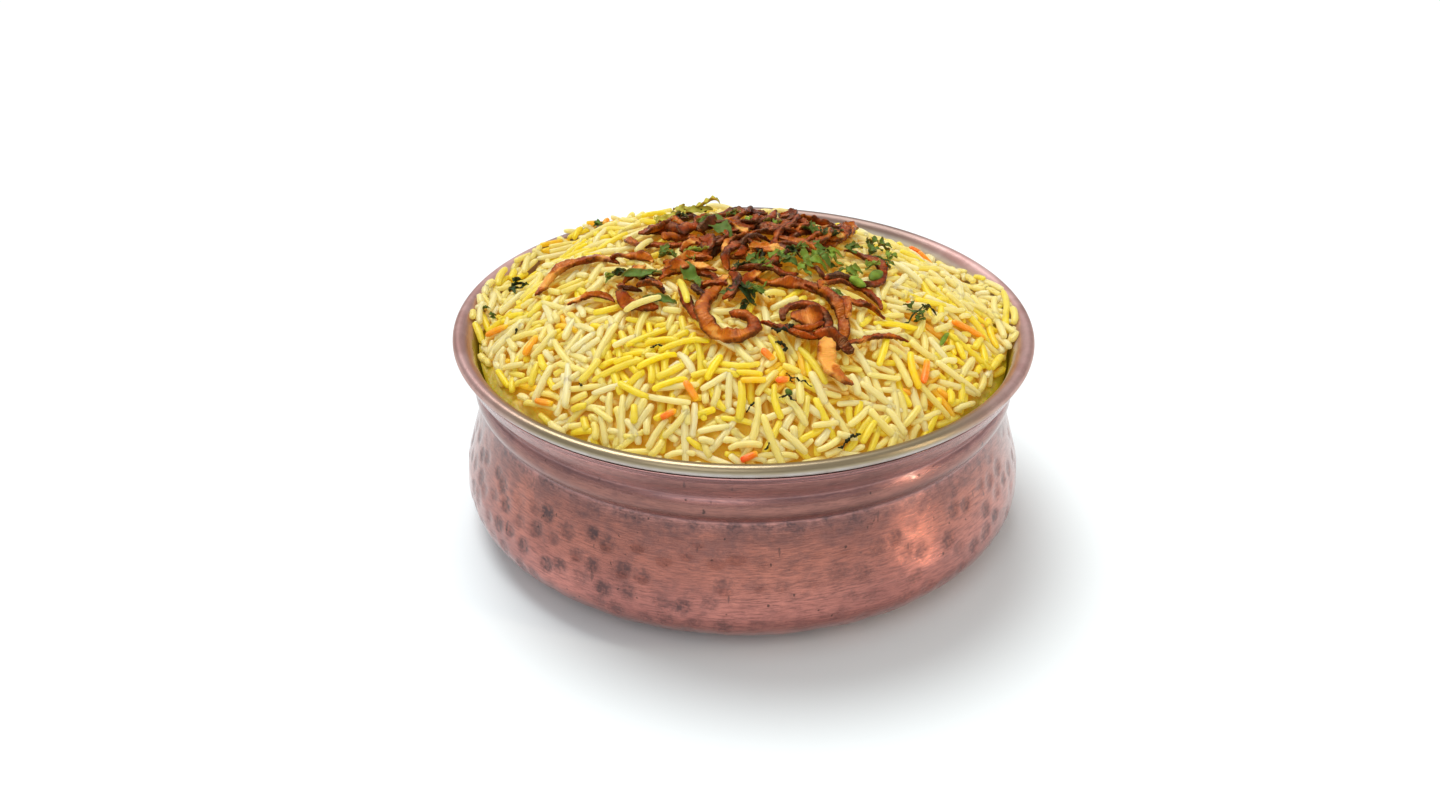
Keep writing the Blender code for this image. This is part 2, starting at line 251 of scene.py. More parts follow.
class Finish:
    """A material with one Principled shader, and short calls for the nodes that feed it."""

    def __init__(self, name, roughness, metallic=0.0, **sockets):
        self.material = bpy.data.materials.new(name)
        self.material.use_nodes = True
        self.tree = self.material.node_tree
        self.shader = self.tree.nodes["Principled BSDF"]
        self.shader.inputs["Roughness"].default_value = roughness
        self.shader.inputs["Metallic"].default_value = metallic
        for socket, value in sockets.items():
            self.shader.inputs[socket.replace("_", " ")].default_value = value

    def node(self, kind, **settings):
        made = self.tree.nodes.new(kind)
        for key, value in settings.items():
            setattr(made, key, value)
        return made

    def link(self, source, target):
        self.tree.links.new(source, target)

    def to_shader(self, source, socket):
        self.link(source, self.shader.inputs[socket])

    def coordinate(self, axis):
        """One of the object coordinates, by its letter."""
        place = self.node("ShaderNodeTexCoord")
        split = self.node("ShaderNodeSeparateXYZ")
        self.link(place.outputs["Object"], split.inputs[0])
        return split.outputs[axis]

    def attribute(self, name, output="Fac"):
        return self.node("ShaderNodeAttribute", attribute_name=name).outputs[output]

    def noise(self, scale, detail=3.0, roughness=0.55, stretch=(1, 1, 1)):
        """Noise in 1/metres: a scale of 1000 gives lumps of about a millimetre."""
        made = self.node("ShaderNodeGroup", node_tree=object_noise)
        for name, value in (("Scale", scale), ("Detail", detail),
                            ("Roughness", roughness), ("Stretch", stretch)):
            made.inputs[name].default_value = value
        return made.outputs["Value"]

    def spread(self, value, low, high, out_low=0.0, out_high=1.0):
        """Map a value from low..high to out_low..out_high, softly and clamped."""
        made = self.node("ShaderNodeMapRange", interpolation_type="SMOOTHSTEP")
        for socket, number in (("From Min", low), ("From Max", high),
                               ("To Min", out_low), ("To Max", out_high)):
            made.inputs[socket].default_value = number
        self.link(value, made.inputs["Value"])
        return made.outputs["Result"]

    def calculate(self, operation, first, second=0.0):
        """A sum with two values, each given as a number or a socket."""
        made = self.node("ShaderNodeMath", operation=operation)
        for socket, value in zip(made.inputs, (first, second)):
            if isinstance(value, (int, float)):
                socket.default_value = value
            else:
                self.link(value, socket)
        return made.outputs[0]

    def times(self, first, second):
        return self.calculate("MULTIPLY", first, second)

    def plus(self, first, second):
        return self.calculate("ADD", first, second)

    def less(self, first, second):
        return self.calculate("SUBTRACT", first, second)

    def between(self, value, low, risen, falling, high):
        """A share that rises from 0 to 1 over low..risen and falls over falling..high."""
        return self.times(self.spread(value, low, risen), self.spread(value, high, falling))

    def mix(self, share, first, second, blend="MIX"):
        """Mix two colours, given as values or sockets, by a share from 0 to 1."""
        made = self.node("ShaderNodeMix", data_type="RGBA", blend_type=blend)
        for socket, value in zip((made.inputs[0], made.inputs[6], made.inputs[7]),
                                 (share, first, second)):
            if isinstance(value, (int, float)):
                socket.default_value = value
            elif isinstance(value, tuple):
                socket.default_value = (*value, 1.0)
            else:
                self.link(value, socket)
        return made.outputs[2]

    def layers(self, tone, *over):
        """Lay colours over a tone one after another, each by its own share from 0 to 1."""
        for share, colour in over:
            tone = self.mix(share, tone, colour)
        return tone

    def bump(self, height, distance, strength=1.0):
        made = self.node("ShaderNodeBump")
        made.inputs["Distance"].default_value = distance
        made.inputs["Strength"].default_value = strength
        self.link(height, made.inputs["Height"])
        self.to_shader(made.outputs["Normal"], "Normal")


# ---------------------------------------------------------------- the bowl

def arc(centre, radii, start, end, count):
    """Points (radius, height) on an ellipse arc between two angles in degrees."""
    angle = np.radians(np.linspace(start, end, count))
    return np.stack([centre[0] + radii[0] * np.cos(angle),
                     centre[1] + radii[1] * np.sin(angle)], axis=1)


def turned(radius, angle, height):
    """Points at a radius, at an angle round +Z and at a height."""
    return np.stack([radius * np.cos(angle), radius * np.sin(angle), height + 0 * angle], axis=-1)


def straight(start, end, count):
    """Evenly spaced points from start up to, but without, end."""
    share = np.arange(count)[:, None] / count
    return np.asarray(start) * (1 - share) + np.asarray(end) * share


def corner(depth, count):
    """The belly's round lower corner, moved inwards by a sheet depth."""
    width = BELLY_RADIUS - BASE_RADIUS - depth
    return arc((BASE_RADIUS, BELLY_Z), (width, BELLY_Z - depth), 0, -90, count)


def neck_outside():
    """The neck from the lip to the crease: a flare whose radius follows a power of the
    height left, then a half sine wave for the bead."""
    left = np.linspace(1, 0, 26)[:-1]
    flare = np.stack([TROUGH[0] + (LIP[0] - TROUGH[0]) * left ** FLARE_POWER,
                      TROUGH[1] + (LIP[1] - TROUGH[1]) * left], axis=1)
    share = np.linspace(0, 1, 25)
    swell = BEAD_RADIUS - (TROUGH[0] + CREASE[0]) / 2
    bead = np.stack([TROUGH[0] + (CREASE[0] - TROUGH[0]) * share
                     + swell * np.sin(math.pi * share) ** 0.8,
                     TROUGH[1] + (CREASE[1] - TROUGH[1]) * share], axis=1)
    return np.concatenate([flare, bead])


BLOWS_ROUND, BLOW_ROWS = 72, 7
BLOW_PITCH = 6.9 * MM           # from one row of blows to the next
BLOW_SHIFT = 0.24               # how far a blow strays, over the pitch
BLOW_RADIUS = (2.6, 3.6)        # in mm
BLOW_DEPTH = (0.12, 0.34)       # in mm
BLOW_STAIN = (0.35, 1.0)
BLOWS_STRUCK = 0.88             # share of the places that were struck
HOLLOW_REACH = 1.15             # a hollow ends this far out, over the blow's radius
STAIN_REACH, STAIN_EDGE = 1.08, 0.5
RUBBED_AT, RUBBED_SPREAD = -78, 15


def dents(around, down, bearing):
    """Hammer marks as (depth, dark stain): blows lie in staggered rows, each shifted a
    little, and each is a bowl (1 - d^2)^2 deep, d being the distance over its reach;
    its stain is a disc with a soft edge. around and down are distances in metres."""
    columns, rows = BLOWS_ROUND, BLOW_ROWS
    pitch = math.tau * BELLY_RADIUS / columns
    blow = np.random.default_rng(7)
    shift = blow.uniform(-BLOW_SHIFT, BLOW_SHIFT, (2, rows, columns))
    size = blow.uniform(*BLOW_RADIUS, (rows, columns)) * MM
    depth = blow.uniform(*BLOW_DEPTH, (rows, columns)) * (blow.random((rows, columns)) < BLOWS_STRUCK)
    stain = blow.uniform(*BLOW_STAIN, (rows, columns)) * (depth > 0)
    depth_sum = np.zeros_like(around)
    stain_sum = np.zeros_like(around)
    row_at = np.floor(down / BLOW_PITCH).astype(int)
    for row_step in (-1, 0, 1):
        row = np.clip(row_at + row_step, 0, rows - 1)
        column_at = np.floor(around / pitch - 0.5 * (row % 2)).astype(int)
        for column_step in (-1, 0, 1):
            column = (column_at + column_step) % columns
            centre_x = (column_at + column_step + 0.5 + 0.5 * (row % 2) + shift[0, row, column]) * pitch
            centre_y = (row + 0.5 + shift[1, row, column]) * BLOW_PITCH
            away = np.hypot(around - centre_x, down - centre_y) / size[row, column]
            hollow = np.clip(1 - (away / HOLLOW_REACH) ** 2, 0, 1) ** 2
            disc = np.clip((STAIN_REACH - away) / STAIN_EDGE, 0, 1)
            depth_sum = np.maximum(depth_sum, hollow * depth[row, column])
            stain_sum = np.maximum(stain_sum, disc * stain[row, column])
    # the front right has been rubbed bright, so its marks are faint
    rubbed = np.exp(-((bearing - RUBBED_AT) / RUBBED_SPREAD) ** 2)
    fade_in = np.clip((down - 3 * MM) / (6 * MM), 0, 1)
    return depth_sum * MM * fade_in * (1 - 0.6 * rubbed), stain_sum * fade_in * (1 - 0.7 * rubbed)


def make_copper_bowl(finish):
    """The copper shell: its outline turned round +Z, with hammer marks pressed in along
    the outline's normal and a stain that is darkest in the grooves and the marks."""
    belly = np.concatenate([straight((CREASE[0] - 0.25 * MM, CREASE[1] - 0.5 * MM), SHOULDER, 34),
                            straight(SHOULDER, (BELLY_RADIUS, BELLY_Z), 5), corner(0, 36)])
    neck = neck_outside()
    under = straight((0, BASE_Z), (BASE_RADIUS, BASE_Z), 8)
    lip_round = (0.7 * MM, 0.6 * MM)
    lip = arc((LIP[0] - lip_round[0], LIP[1] - lip_round[1]), lip_round, 60, 180, 7)
    neck_inside = [(LIP[0] - 2.3 * MM, LIP[1] - 5 * MM), (TROUGH[0] - COPPER, TROUGH[1]),
                   (CREASE[0] - 0.3 * MM - COPPER, CREASE[1])]
    inside = np.concatenate([lip, neck_inside, corner(COPPER, 10), [(0.0, COPPER)]])
    outline = np.concatenate([under, belly[::-1], neck[::-1], inside])
    zone = np.repeat([0, 1, 2, 3], [len(under), len(belly), len(neck), len(inside)])
    on_belly = zone == 1
    outside = on_belly | (zone == 2)
    columns = 480
    step = np.diff(outline, axis=0, prepend=outline[:1])
    length = np.cumsum(np.hypot(step[:, 0], step[:, 1]))
    down = length[np.flatnonzero(on_belly)[-1]] - length
    angle = np.linspace(0, math.tau, columns, endpoint=False)
    down_grid, round_angle = np.meshgrid(down, angle, indexing="ij")
    bearing = (np.degrees(round_angle) + 180) % 360 - 180
    depth, stain = dents(round_angle * BELLY_RADIUS, down_grid, bearing)
    depth *= on_belly[:, None]
    stain *= on_belly[:, None]
    ahead = np.gradient(outline, axis=0)
    normal = np.stack([ahead[:, 1], -ahead[:, 0]], axis=1)
    normal /= np.linalg.norm(normal, axis=1)[:, None] + 1e-12
    low = np.clip((12 * MM - outline[:, 1]) / (8 * MM), 0, 1)[:, None] * on_belly[:, None]
    depth = depth + low * 0.22 * MM * (1 + np.sin(round_angle * 23) * np.sin(round_angle * 9 + 1))
    radius = outline[:, :1] - normal[:, :1] * depth
    height = np.maximum(outline[:, 1:] - normal[:, 1:] * depth, BASE_Z)
    points = turned(radius, round_angle, height)

    def band(centre, width):
        return np.exp(-((outline[:, 1] - centre) / width) ** 2)

    below_crease = np.clip((outline[:, 1] - 34 * MM) / (8 * MM), 0, 1) * on_belly
    groove = (0.75 * band(TROUGH[1] - 0.2 * MM, 1.3 * MM) + 0.6 * band(CREASE[1] - 0.2 * MM, 0.5 * MM)
              + 0.8 * band(LIP[1] - 1.3 * MM, 0.4 * MM)) * 0.85
    # The finish paints the flare a lighter mauve, partly a painted reflection
    flare = np.clip((outline[:, 1] - TROUGH[1] - 1.5 * MM) / (3 * MM), 0, 1)
    masks = {"groove": np.clip(groove, 0, 1) * outside, "flare": flare * outside,
             "tarnish": below_crease ** 2}
    masks = {name: np.broadcast_to(mask[:, None], stain.shape) for name, mask in masks.items()}
    faces = grid_faces(len(outline), columns, closed_columns=True)
    made = mesh_from("hammered_copper", points.reshape(-1, 3), faces, masks={"stain": stain, **masks})
    turn_out(made.data, close=True)
    return finish_piece(made, "copper", finish, "copper_shell")


def mouth(depth, count):
    """The liner's mouth, a quarter ellipse from the roll's top down to the neck wall."""
    angle = np.radians(np.linspace(0, 90, count))
    radii = (MOUTH_REACH - depth, MOUTH_DROP - depth)
    return np.stack([RIM_RADIUS - ROLL_RADIUS - radii[0] * np.sin(angle),
                     RIM_TOP - MOUTH_DROP + radii[1] * np.cos(angle)], axis=1)


def liner_wall(depth, count):
    """The liner below its mouth, moved out by a depth, to the middle of its floor."""
    inset = COPPER + GAP + STEEL - depth
    upper = np.array([(TROUGH[0] - inset, TROUGH[1]), (CREASE[0] - 0.2 * MM - inset, CREASE[1])])
    return np.concatenate([upper, corner(inset, count), [(0.0, inset)]])


def make_liner(finish):
    """The steel liner: its floor, wall, mouth and outward roll, turned round +Z."""
    roll_centre = (RIM_RADIUS - ROLL_RADIUS, RIM_TOP - ROLL_RADIUS)
    roll = arc(roll_centre, (ROLL_RADIUS, ROLL_RADIUS), 90, -180, 28)
    inside = np.concatenate([mouth(0, 30), liner_wall(0, 10)])
    outside = np.concatenate([mouth(STEEL, 24)[7:], liner_wall(STEEL, 10)])
    outline = np.concatenate([inside[::-1][:-1], roll, outside])
    columns = 360
    angle = np.linspace(0, math.tau, columns, endpoint=False)
    points = turned(outline[:, :1], angle, outline[:, 1:]).reshape(-1, 3)
    wetted = np.repeat(np.arange(len(outline)) < len(inside) - 1, columns)
    quads = grid_faces(len(outline), columns, closed_columns=True)
    made = mesh_from("rolled_liner", points, quads, masks={"wetted": wetted})
    turn_out(made.data, close=True)
    return finish_piece(made, "steel", finish, "steel_liner")


# ---------------------------------------------------------------- the heap

def heap_height(x, y):
    """Height of the rice: a dome whose edge rises and dips round the bowl, with one
    swollen shoulder and low waves, as the solid has it."""
    reach = np.minimum(np.hypot(x, y) / HEAP_RADIUS, 1.0)
    bearing = np.degrees(np.arctan2(y, x))
    edge = np.full_like(reach, HEAP_EDGE)
    for centre, spread, rise in EDGE_WAVES:
        away = (bearing - centre + 180) % 360 - 180
        edge += rise * np.exp(-(away / spread) ** 2)
    height = edge + (HEAP_TOP - edge) * (1 - reach ** HEAP_POWER)
    swell_x, swell_y, spread, rise = SHOULDER_SWELL
    height += rise * np.exp(-((x - swell_x) ** 2 + (y - swell_y) ** 2) / spread ** 2)
    inner = 1 - reach ** 6
    height += 0.7 * MM * inner * np.sin(x / (4.1 * MM) + 1.3) * np.sin(y / (4.7 * MM) + 0.4)
    height += 0.5 * MM * inner * np.sin((x + y) / (7.3 * MM) + 2.1)
    return height


CORE_DEPTH = 4.6 * MM           # how far the core lies under the heap's outline
CORE_RADIUS = HEAP_RADIUS - 0.05 * MM
CORE_FLOOR = 46 * MM            # height of its flat underside, which never shows
CORE_FOOT = 79.9 * MM           # radius of that underside
OIL_AND_REFLECTION_FROM = 77.6 * MM           # radius from which the core turns olive: the rice's painted reflection, partly oil
OIL_AND_REFLECTION_FADE = 2.5 * MM


def core_height(x, y):
    """The core under the grains: the heap lowered, with lumps as fine as the grains."""
    lumps = 0.5 * smooth_noise(x, y, 5 * MM, 3) + 0.4 * smooth_noise(x, y, 2.6 * MM, 4)
    at_wall = np.clip(np.hypot(x, y) / CORE_RADIUS, 0, 1) ** 24
    return heap_height(x, y) - CORE_DEPTH * (1 - 0.55 * at_wall) + lumps * MM


def make_core(finish):
    """The core: a polar grid raised to the core's height, with a side down the wall and
    a flat underside."""
    columns = 240
    shares = np.concatenate([[0.002], np.linspace(0.012, 1, 84)])
    angle = np.linspace(0, math.tau, columns, endpoint=False)
    share, round_angle = np.meshgrid(shares, angle, indexing="ij")
    radius = share * CORE_RADIUS
    x = radius * np.cos(round_angle)
    y = radius * np.sin(round_angle)
    top = np.stack([x, y, core_height(x, y)], axis=-1)
    foot = [turned(foot_radius, angle, CORE_FLOOR)[None] for foot_radius in (CORE_FOOT, 0.1 * MM)]
    points = np.concatenate([top, *foot]).reshape(-1, 3)
    # By the wall the core takes the olive of the rice's painted reflection in the liner, partly oil
    oily = np.clip((np.hypot(points[:, 0], points[:, 1]) - OIL_AND_REFLECTION_FROM) / OIL_AND_REFLECTION_FADE, 0, 1)
    made = mesh_from("rice_core", points, grid_faces(len(shares) + 2, columns, closed_columns=True),
                     masks={"oily": oily})
    turn_out(made.data, close=True)
    return finish_piece(made, "rice", finish, "rice_heap")


# ---------------------------------------------------------------- laying things down

COVER = 1.9 * MM                # depth of rice that has slid onto the liner's mouth
# How far out the rice lies, as (degrees round from +X, radius in mm)
RICE_REACH = (
    (-180, 85.4), (-170, 82.8), (-160, 79.6), (-140, 79.2), (-124, 82.0), (-60, 82.6), (-46, 80.2),
    (-20, 80.2), (-10, 83.8), (0, 85.8), (14, 86.0), (24, 84.6), (40, 83.6), (86, 83.8), (98, 85.4),
    (106, 87.6), (142, 87.4), (150, 85.6), (160, 85.2), (168, 85.6), (180, 85.4),
)
HEAPED_OVER = (124, 20, 1.4 * MM)  # rice piled over the rim: bearing, spread in degrees, more depth
HEAP_SPARE = 0.9 * MM           # left for grains that stick out of the heap's outline
BANK_FROM = 83.6 * MM           # rice that reaches further out than this is banked up
BANK_DEPTH = 1.0 * MM           # depth of the bank at its outer edge
BANK_SLOPE = 0.3                # fall of the banked rice inwards from its outer edge
CELL = 0.33 * MM
FIELD_HALF = 94 * MM
FIELD_SIZE = int(2 * FIELD_HALF / CELL)


def field_index(x, y):
    """Row and column of the cell under each point."""
    column = np.clip(((x + FIELD_HALF) / CELL).astype(int), 0, FIELD_SIZE - 1)
    row = np.clip(((y + FIELD_HALF) / CELL).astype(int), 0, FIELD_SIZE - 1)
    return row, column


def mouth_height(radius):
    """Height of the liner's mouth, a quarter ellipse, at a radius."""
    share = np.clip((RIM_RADIUS - ROLL_RADIUS - radius) / MOUTH_REACH, 0, 1)
    return RIM_TOP - MOUTH_DROP + MOUTH_DROP * np.sqrt(1 - share ** 2)


def starting_field():
    """The height of what lies bare in the bowl: the core, the neck wall beside it, and
    the liner's mouth up to the roll; far outside nothing can lie."""
    middle = (np.arange(FIELD_SIZE) + 0.5) * CELL - FIELD_HALF
    x, y = np.meshgrid(middle, middle)
    radius = np.hypot(x, y)
    heights = core_height(x, y)
    steel = mouth_height(radius)
    on_steel = radius > CORE_RADIUS
    heights[on_steel] = np.maximum(heights, steel)[on_steel]
    bearings, radii = np.array(RICE_REACH).T
    reach = np.interp(np.degrees(np.arctan2(y, x)), bearings, radii * MM)
    bank = mouth_height(reach) + BANK_DEPTH - BANK_SLOPE * (reach - radius)
    target = np.maximum(heap_height(x, y) - HEAP_SPARE, np.where(reach > BANK_FROM, bank, 0))
    bearing, spread, more = HEAPED_OVER
    cover = COVER + more * np.exp(-((np.degrees(np.arctan2(y, x)) - bearing) / spread) ** 4)
    target = np.where(radius > HEAP_RADIUS, np.maximum(target, steel + cover), target)
    target[radius > reach] = -1.0
    return heights, target


field, heap_target = starting_field()
topping = np.zeros_like(field)  # 1 where onion or herbs have been laid


def local_level(reach):
    """The field's mean over a square window, from running sums along both ways."""
    level = field
    for axis in (0, 1):
        margins = [(reach + 1, reach) if way == axis else (0, 0) for way in (0, 1)]
        padded = np.pad(level, margins, mode="edge")
        running = np.cumsum(padded, axis=axis)
        ahead = np.take(running, range(2 * reach + 1, running.shape[axis]), axis=axis)
        behind = np.take(running, range(running.shape[axis] - 2 * reach - 1), axis=axis)
        level = (ahead - behind) / (2 * reach + 1)
    return level


GRAIN_SIDES = 6
# Stations along a grain, closer together at its round ends
STATIONS = np.array([-1, -0.965, -0.86, -0.5, 0, 0.5, 0.86, 0.965, 1])
FULLNESS = np.array([0, 0.60, 0.86, 0.97, 1.0, 0.98, 0.88, 0.64, 0])
ROUND_GRAIN = np.linspace(0, math.tau, GRAIN_SIDES, endpoint=False) + math.pi / 6
STAMP_SHARE = np.linspace(-1, 1, 42)
STAMP_ACROSS = np.linspace(-0.92, 0.92, 7)
GRAIN_FLATNESS = 0.84           # height of a grain over its width
GRAIN_LENGTH = (13.6, 3.0)      # mean and spread in mm
GRAIN_LENGTHS = (7.5, 20)       # shortest and longest whole grain in mm
BROKEN_LENGTHS = (4.6, 6.8)     # the same for a broken grain
SHORTEST = 4.4 * MM
SHORTER = 0.93                  # a grain that doesn't fit is tried again this much shorter
FITTINGS = 7                    # and so on, this many times in all
PRESSED = 0.66                  # share of its height that a soft grain keeps clear of others
TIP_SINK = 0.55                 # how far a tipped grain is pushed in, over its end's fall
STEEPEST = 0.95                 # slope of a grain that still rests
BY_THE_WALL = 76 * MM           # out here most grains lie along the wall


def settle(x, y, heading, length, bend, radius, tilt, proud):
    """Rest a grain on the field. Its line is the lowest that clears the ground at every
    station and balances about its middle; then its ends sag part of the way down and it
    is tipped, its lower end pushed in among the others. Returns its points, or nothing
    where it would stand too steeply, leave the rice or rise more than proud above the
    heap's outline."""
    along = STATIONS * length / 2
    bow = bend / (2 * length) * along ** 2
    cos, sin = math.cos(heading), math.sin(heading)
    px = x + along * cos - bow * sin
    py = y + along * sin + bow * cos
    outline = heap_target[field_index(px, py)]
    if outline.min() < 0:
        return None
    side = np.array([-0.6, 0, 0.6])[:, None] * radius
    ground = field[field_index(px - side * sin, py + side * cos)].max(axis=0)
    need = ground + PRESSED * radius * GRAIN_FLATNESS * np.maximum(FULLNESS, 0.4)
    left, right = along[:4, None], along[None, 5:]
    bridge = (need[:4, None] * right - need[None, 5:] * left) / (right - left)
    best = np.unravel_index(np.argmax(bridge), bridge.shape)
    if bridge[best] >= need[4]:
        middle = bridge[best]
        slope = (need[5 + best[1]] - need[best[0]]) / (along[5 + best[1]] - along[best[0]])
    else:
        middle = need[4]
        low = ((need[5:] - middle) / along[5:]).max()
        high = ((middle - need[:4]) / -along[:4]).min()
        slope = (low + high) / 2
    line = middle + slope * along
    room = np.convolve(np.pad(line - need, 1, mode="edge"), (0.25, 0.5, 0.25), mode="valid")
    line = line - 0.5 * np.clip(room, 0, 2 * MM) * STATIONS ** 2
    line = line + tilt * along - TIP_SINK * abs(tilt) * length / 2
    if abs(slope) > STEEPEST or (line + radius * GRAIN_FLATNESS * FULLNESS - outline).max() > proud:
        return None
    return np.stack([px, py, line], axis=1)


def stamp(points, half_width, half_height, profile, shares=STAMP_SHARE):
    """Raise the field to the top of a long body: half_height * sqrt(1 - t^2) above its
    middle line at a share t across. A body without a profile is marked as a topping."""
    base = np.linspace(-1, 1, len(points)) if profile is None else STATIONS
    px, py, pz = (np.interp(shares, base, points[:, axis]) for axis in range(3))
    full = np.ones_like(shares) if profile is None else np.interp(shares, STATIONS, profile)
    run_x = np.gradient(px)
    run_y = np.gradient(py)
    run = np.hypot(run_x, run_y) + 1e-12
    offset = STAMP_ACROSS[:, None] * half_width * full
    where = field_index(px - offset * run_y / run, py + offset * run_x / run)
    top = pz + half_height * full * np.sqrt(1 - STAMP_ACROSS ** 2)[:, None]
    np.maximum.at(field, where, top)
    if profile is None:
        topping[where] = 1


def lay_grains(count, tries, enough, proud, tilt, inner=0.0, spare_toppings=False):
    """Drop grains one by one where the heap still lies lowest under its outline, unless it
    is within enough of it, further out than inner, and off the toppings where they are
    spared. Returns rows of (points, half width)."""
    laid = []
    for _ in range(count):
        radius = np.sqrt(rng.uniform((inner / HEAP_RADIUS) ** 2, 1.08, tries)) * HEAP_RADIUS
        angle = rng.uniform(0, math.tau, tries)
        x, y = radius * np.cos(angle), radius * np.sin(angle)
        where = field_index(x, y)
        missing = heap_target[where] - field[where]
        best = int(np.argmax(missing))
        if missing[best] < enough:
            continue
        length = np.clip(rng.normal(*GRAIN_LENGTH), *GRAIN_LENGTHS) * MM
        if rng.random() < 0.12 or (inner > 0 and rng.random() < 0.25):
            length = rng.uniform(*BROKEN_LENGTHS) * MM
        bend = rng.normal(0, 0.45) + (rng.random() < 0.2) * rng.choice([-1, 1]) * rng.uniform(0.4, 1.1)
        half_width = rng.uniform(1.05, 1.3) * MM
        for _ in range(FITTINGS):
            length = max(length * SHORTER, SHORTEST)
            heading = rng.uniform(0, math.tau)
            if math.hypot(x[best], y[best]) > BY_THE_WALL and rng.random() < 0.6:
                heading = math.atan2(y[best], x[best]) + math.pi / 2 + rng.normal(0, 0.5)
            points = settle(x[best], y[best], heading, length, bend, half_width,
                            rng.normal(0, tilt), proud)
            if points is not None and spare_toppings:
                if topping[field_index(*points[:, :2].T)].mean() > 0.3:
                    points = None
            if points is not None:
                break
        if points is None:
            continue
        stamp(points, half_width, PRESSED * half_width * GRAIN_FLATNESS, FULLNESS)
        laid.append((points, half_width))
    return laid


# Loose grains by name of place: x, y, heading, length in mm
OVER_TOPPINGS = (
    (-17, -28, -78, 14), (-29, -31, 12, 11), (-5, 5, -35, 12), (-14, -5, -40, 10), (12, -30, 30, 9),
    (-31, 4, 60, 9), (-20, 33, 20, 9), (24, -2, -30, 7), (9, -27, 50, 9), (6, -33, 70, 9),
    (14, 36, 10, 10), (5, 44, -20, 9), (-8, 48, 15, 10), (33, 32, -30, 9), (-30, 42, 30, 9),
)


def lay_one(x, y, heading, length, half_width, bend, proud):
    """Lay one grain at a place in mm. Returns one row as lay_grains does, or none."""
    points = settle(x * MM, y * MM, math.radians(heading), length * MM, bend, half_width, 0.0, proud)
    if points is None:
        return []
    stamp(points, half_width, half_width * GRAIN_FLATNESS, FULLNESS)
    return [(points, half_width)]


def lay_over():
    """Grains that lie over the onion and herbs where they are seen on top."""
    laid = []
    for place in OVER_TOPPINGS:
        laid += lay_one(*place, rng.uniform(1.1, 1.25) * MM, rng.normal(0, 0.3), 6 * MM)
    return laid


# ---------------------------------------------------------------- rice grains

# Places where the rice took more colour: x, y, spread, strength
YELLOW_STAINS = (
    (-29, -49, 15, 1.0), (-14, -62, 10, 0.8), (-2, -66, 8, 0.7), (-70, -5, 10, 0.8), (58, -42, 14, 0.9),
    (60, -10, 12, 0.7), (47, -25, 9, 0.6), (-58, 30, 16, 0.8), (16, -54, 9, 0.6), (-62, -38, 10, 0.6),
    (72, -25, 9, 0.7), (40, 50, 20, 0.5), (-20, 60, 18, 0.5), (30, -68, 9, 0.6), (5, 66, 14, 0.6),
    (-52, -10, 9, 0.4),
)
ORANGE_STAINS = (
    (51, -48, 5, 1.0), (67, -24, 6, 0.9), (-60, -46, 5, 0.8), (13, -55, 5, 0.9), (63, 40, 5, 0.8),
    (-47, 60, 10, 0.9), (-52, -22, 5, 0.6), (20, -45, 5, 0.7), (74, -6, 5, 0.7), (-20, 66, 9, 0.7),
    (30, 62, 8, 0.7), (60, -62, 5, 0.5), (-62, 56, 9, 0.9), (-42, 73, 10, 0.9), (-18, 82, 9, 0.7),
    (62, 46, 6, 0.7),
)
WHITE = np.array([0.70, 0.63, 0.345])
CREAM = np.array([0.68, 0.565, 0.175])
PALE_YELLOW = np.array([0.68, 0.54, 0.047])
STRONG_YELLOW = np.array([0.73, 0.54, 0.002])
ORANGE = np.array([0.80, 0.22, 0.003])
OILY_BROWN = np.array([0.42, 0.16, 0.015])
FRIED_PLACE = ((2, 33), (9, 28))  # under the fried onion: middle and half width along x, y in mm
# Painted shade: golden tints for grains that lie deep among others, in place of the shade there
SHADED_GOLD = np.array([0.68, 0.40, 0.018])
DEEP_SHADE_GOLD = np.array([0.58, 0.27, 0.006])


def stain_at(stains, x, y):
    """How strongly the rice is stained at x, y: the largest of the round soft spots."""
    strongest = np.zeros_like(x)
    for stain_x, stain_y, spread, strength in stains:
        away = np.hypot(x - stain_x * MM, y - stain_y * MM) / (spread * MM)
        strongest = np.maximum(strongest, strength * np.exp(-away ** 2))
    return strongest


def grain_meshes(laid):
    """All grains of a kind as one mesh: at each station a ring of points round the laid
    line, widest in the middle and round at both ends, closed by a point at each tip."""
    lines = np.array([points for points, _ in laid])
    half = np.array([width for _, width in laid])
    count = len(laid)
    run = np.gradient(lines, axis=1)
    run /= np.linalg.norm(run, axis=2, keepdims=True)
    across = np.cross(run, np.array([0, 0, 1.0]))
    across /= np.linalg.norm(across, axis=2, keepdims=True)
    up = np.cross(across, run)
    waver = 1 + rng.normal(0, 0.045, (count, len(STATIONS) - 2, 1, 1))
    full = FULLNESS[1:-1][None, :, None, None] * half[:, None, None, None] * waver
    sideways, upward = np.cos(ROUND_GRAIN)[:, None], np.sin(ROUND_GRAIN)[:, None]
    rings = (lines[:, 1:-1, None] + full * (sideways * across[:, 1:-1, None]
             + GRAIN_FLATNESS * upward * up[:, 1:-1, None]))
    ring_count = rings.shape[1]
    tips = lines[:, [0, -1]]
    points = np.concatenate([rings.reshape(count, -1, 3), tips], axis=1)
    stride = points.shape[1]
    quads = grid_faces(ring_count, GRAIN_SIDES, closed_columns=True)
    caps = end_caps(ring_count, GRAIN_SIDES, stride - 2)
    offset = (np.arange(count) * stride)[:, None, None]
    all_quads = (quads[None] + offset).reshape(-1, 4)
    all_caps = (caps[None] + offset).reshape(-1, 3)
    share = np.concatenate([np.repeat(STATIONS[1:-1], GRAIN_SIDES), [-1, 1]])
    return points.reshape(-1, 3), all_quads[:, ::-1], all_caps[:, ::-1], share


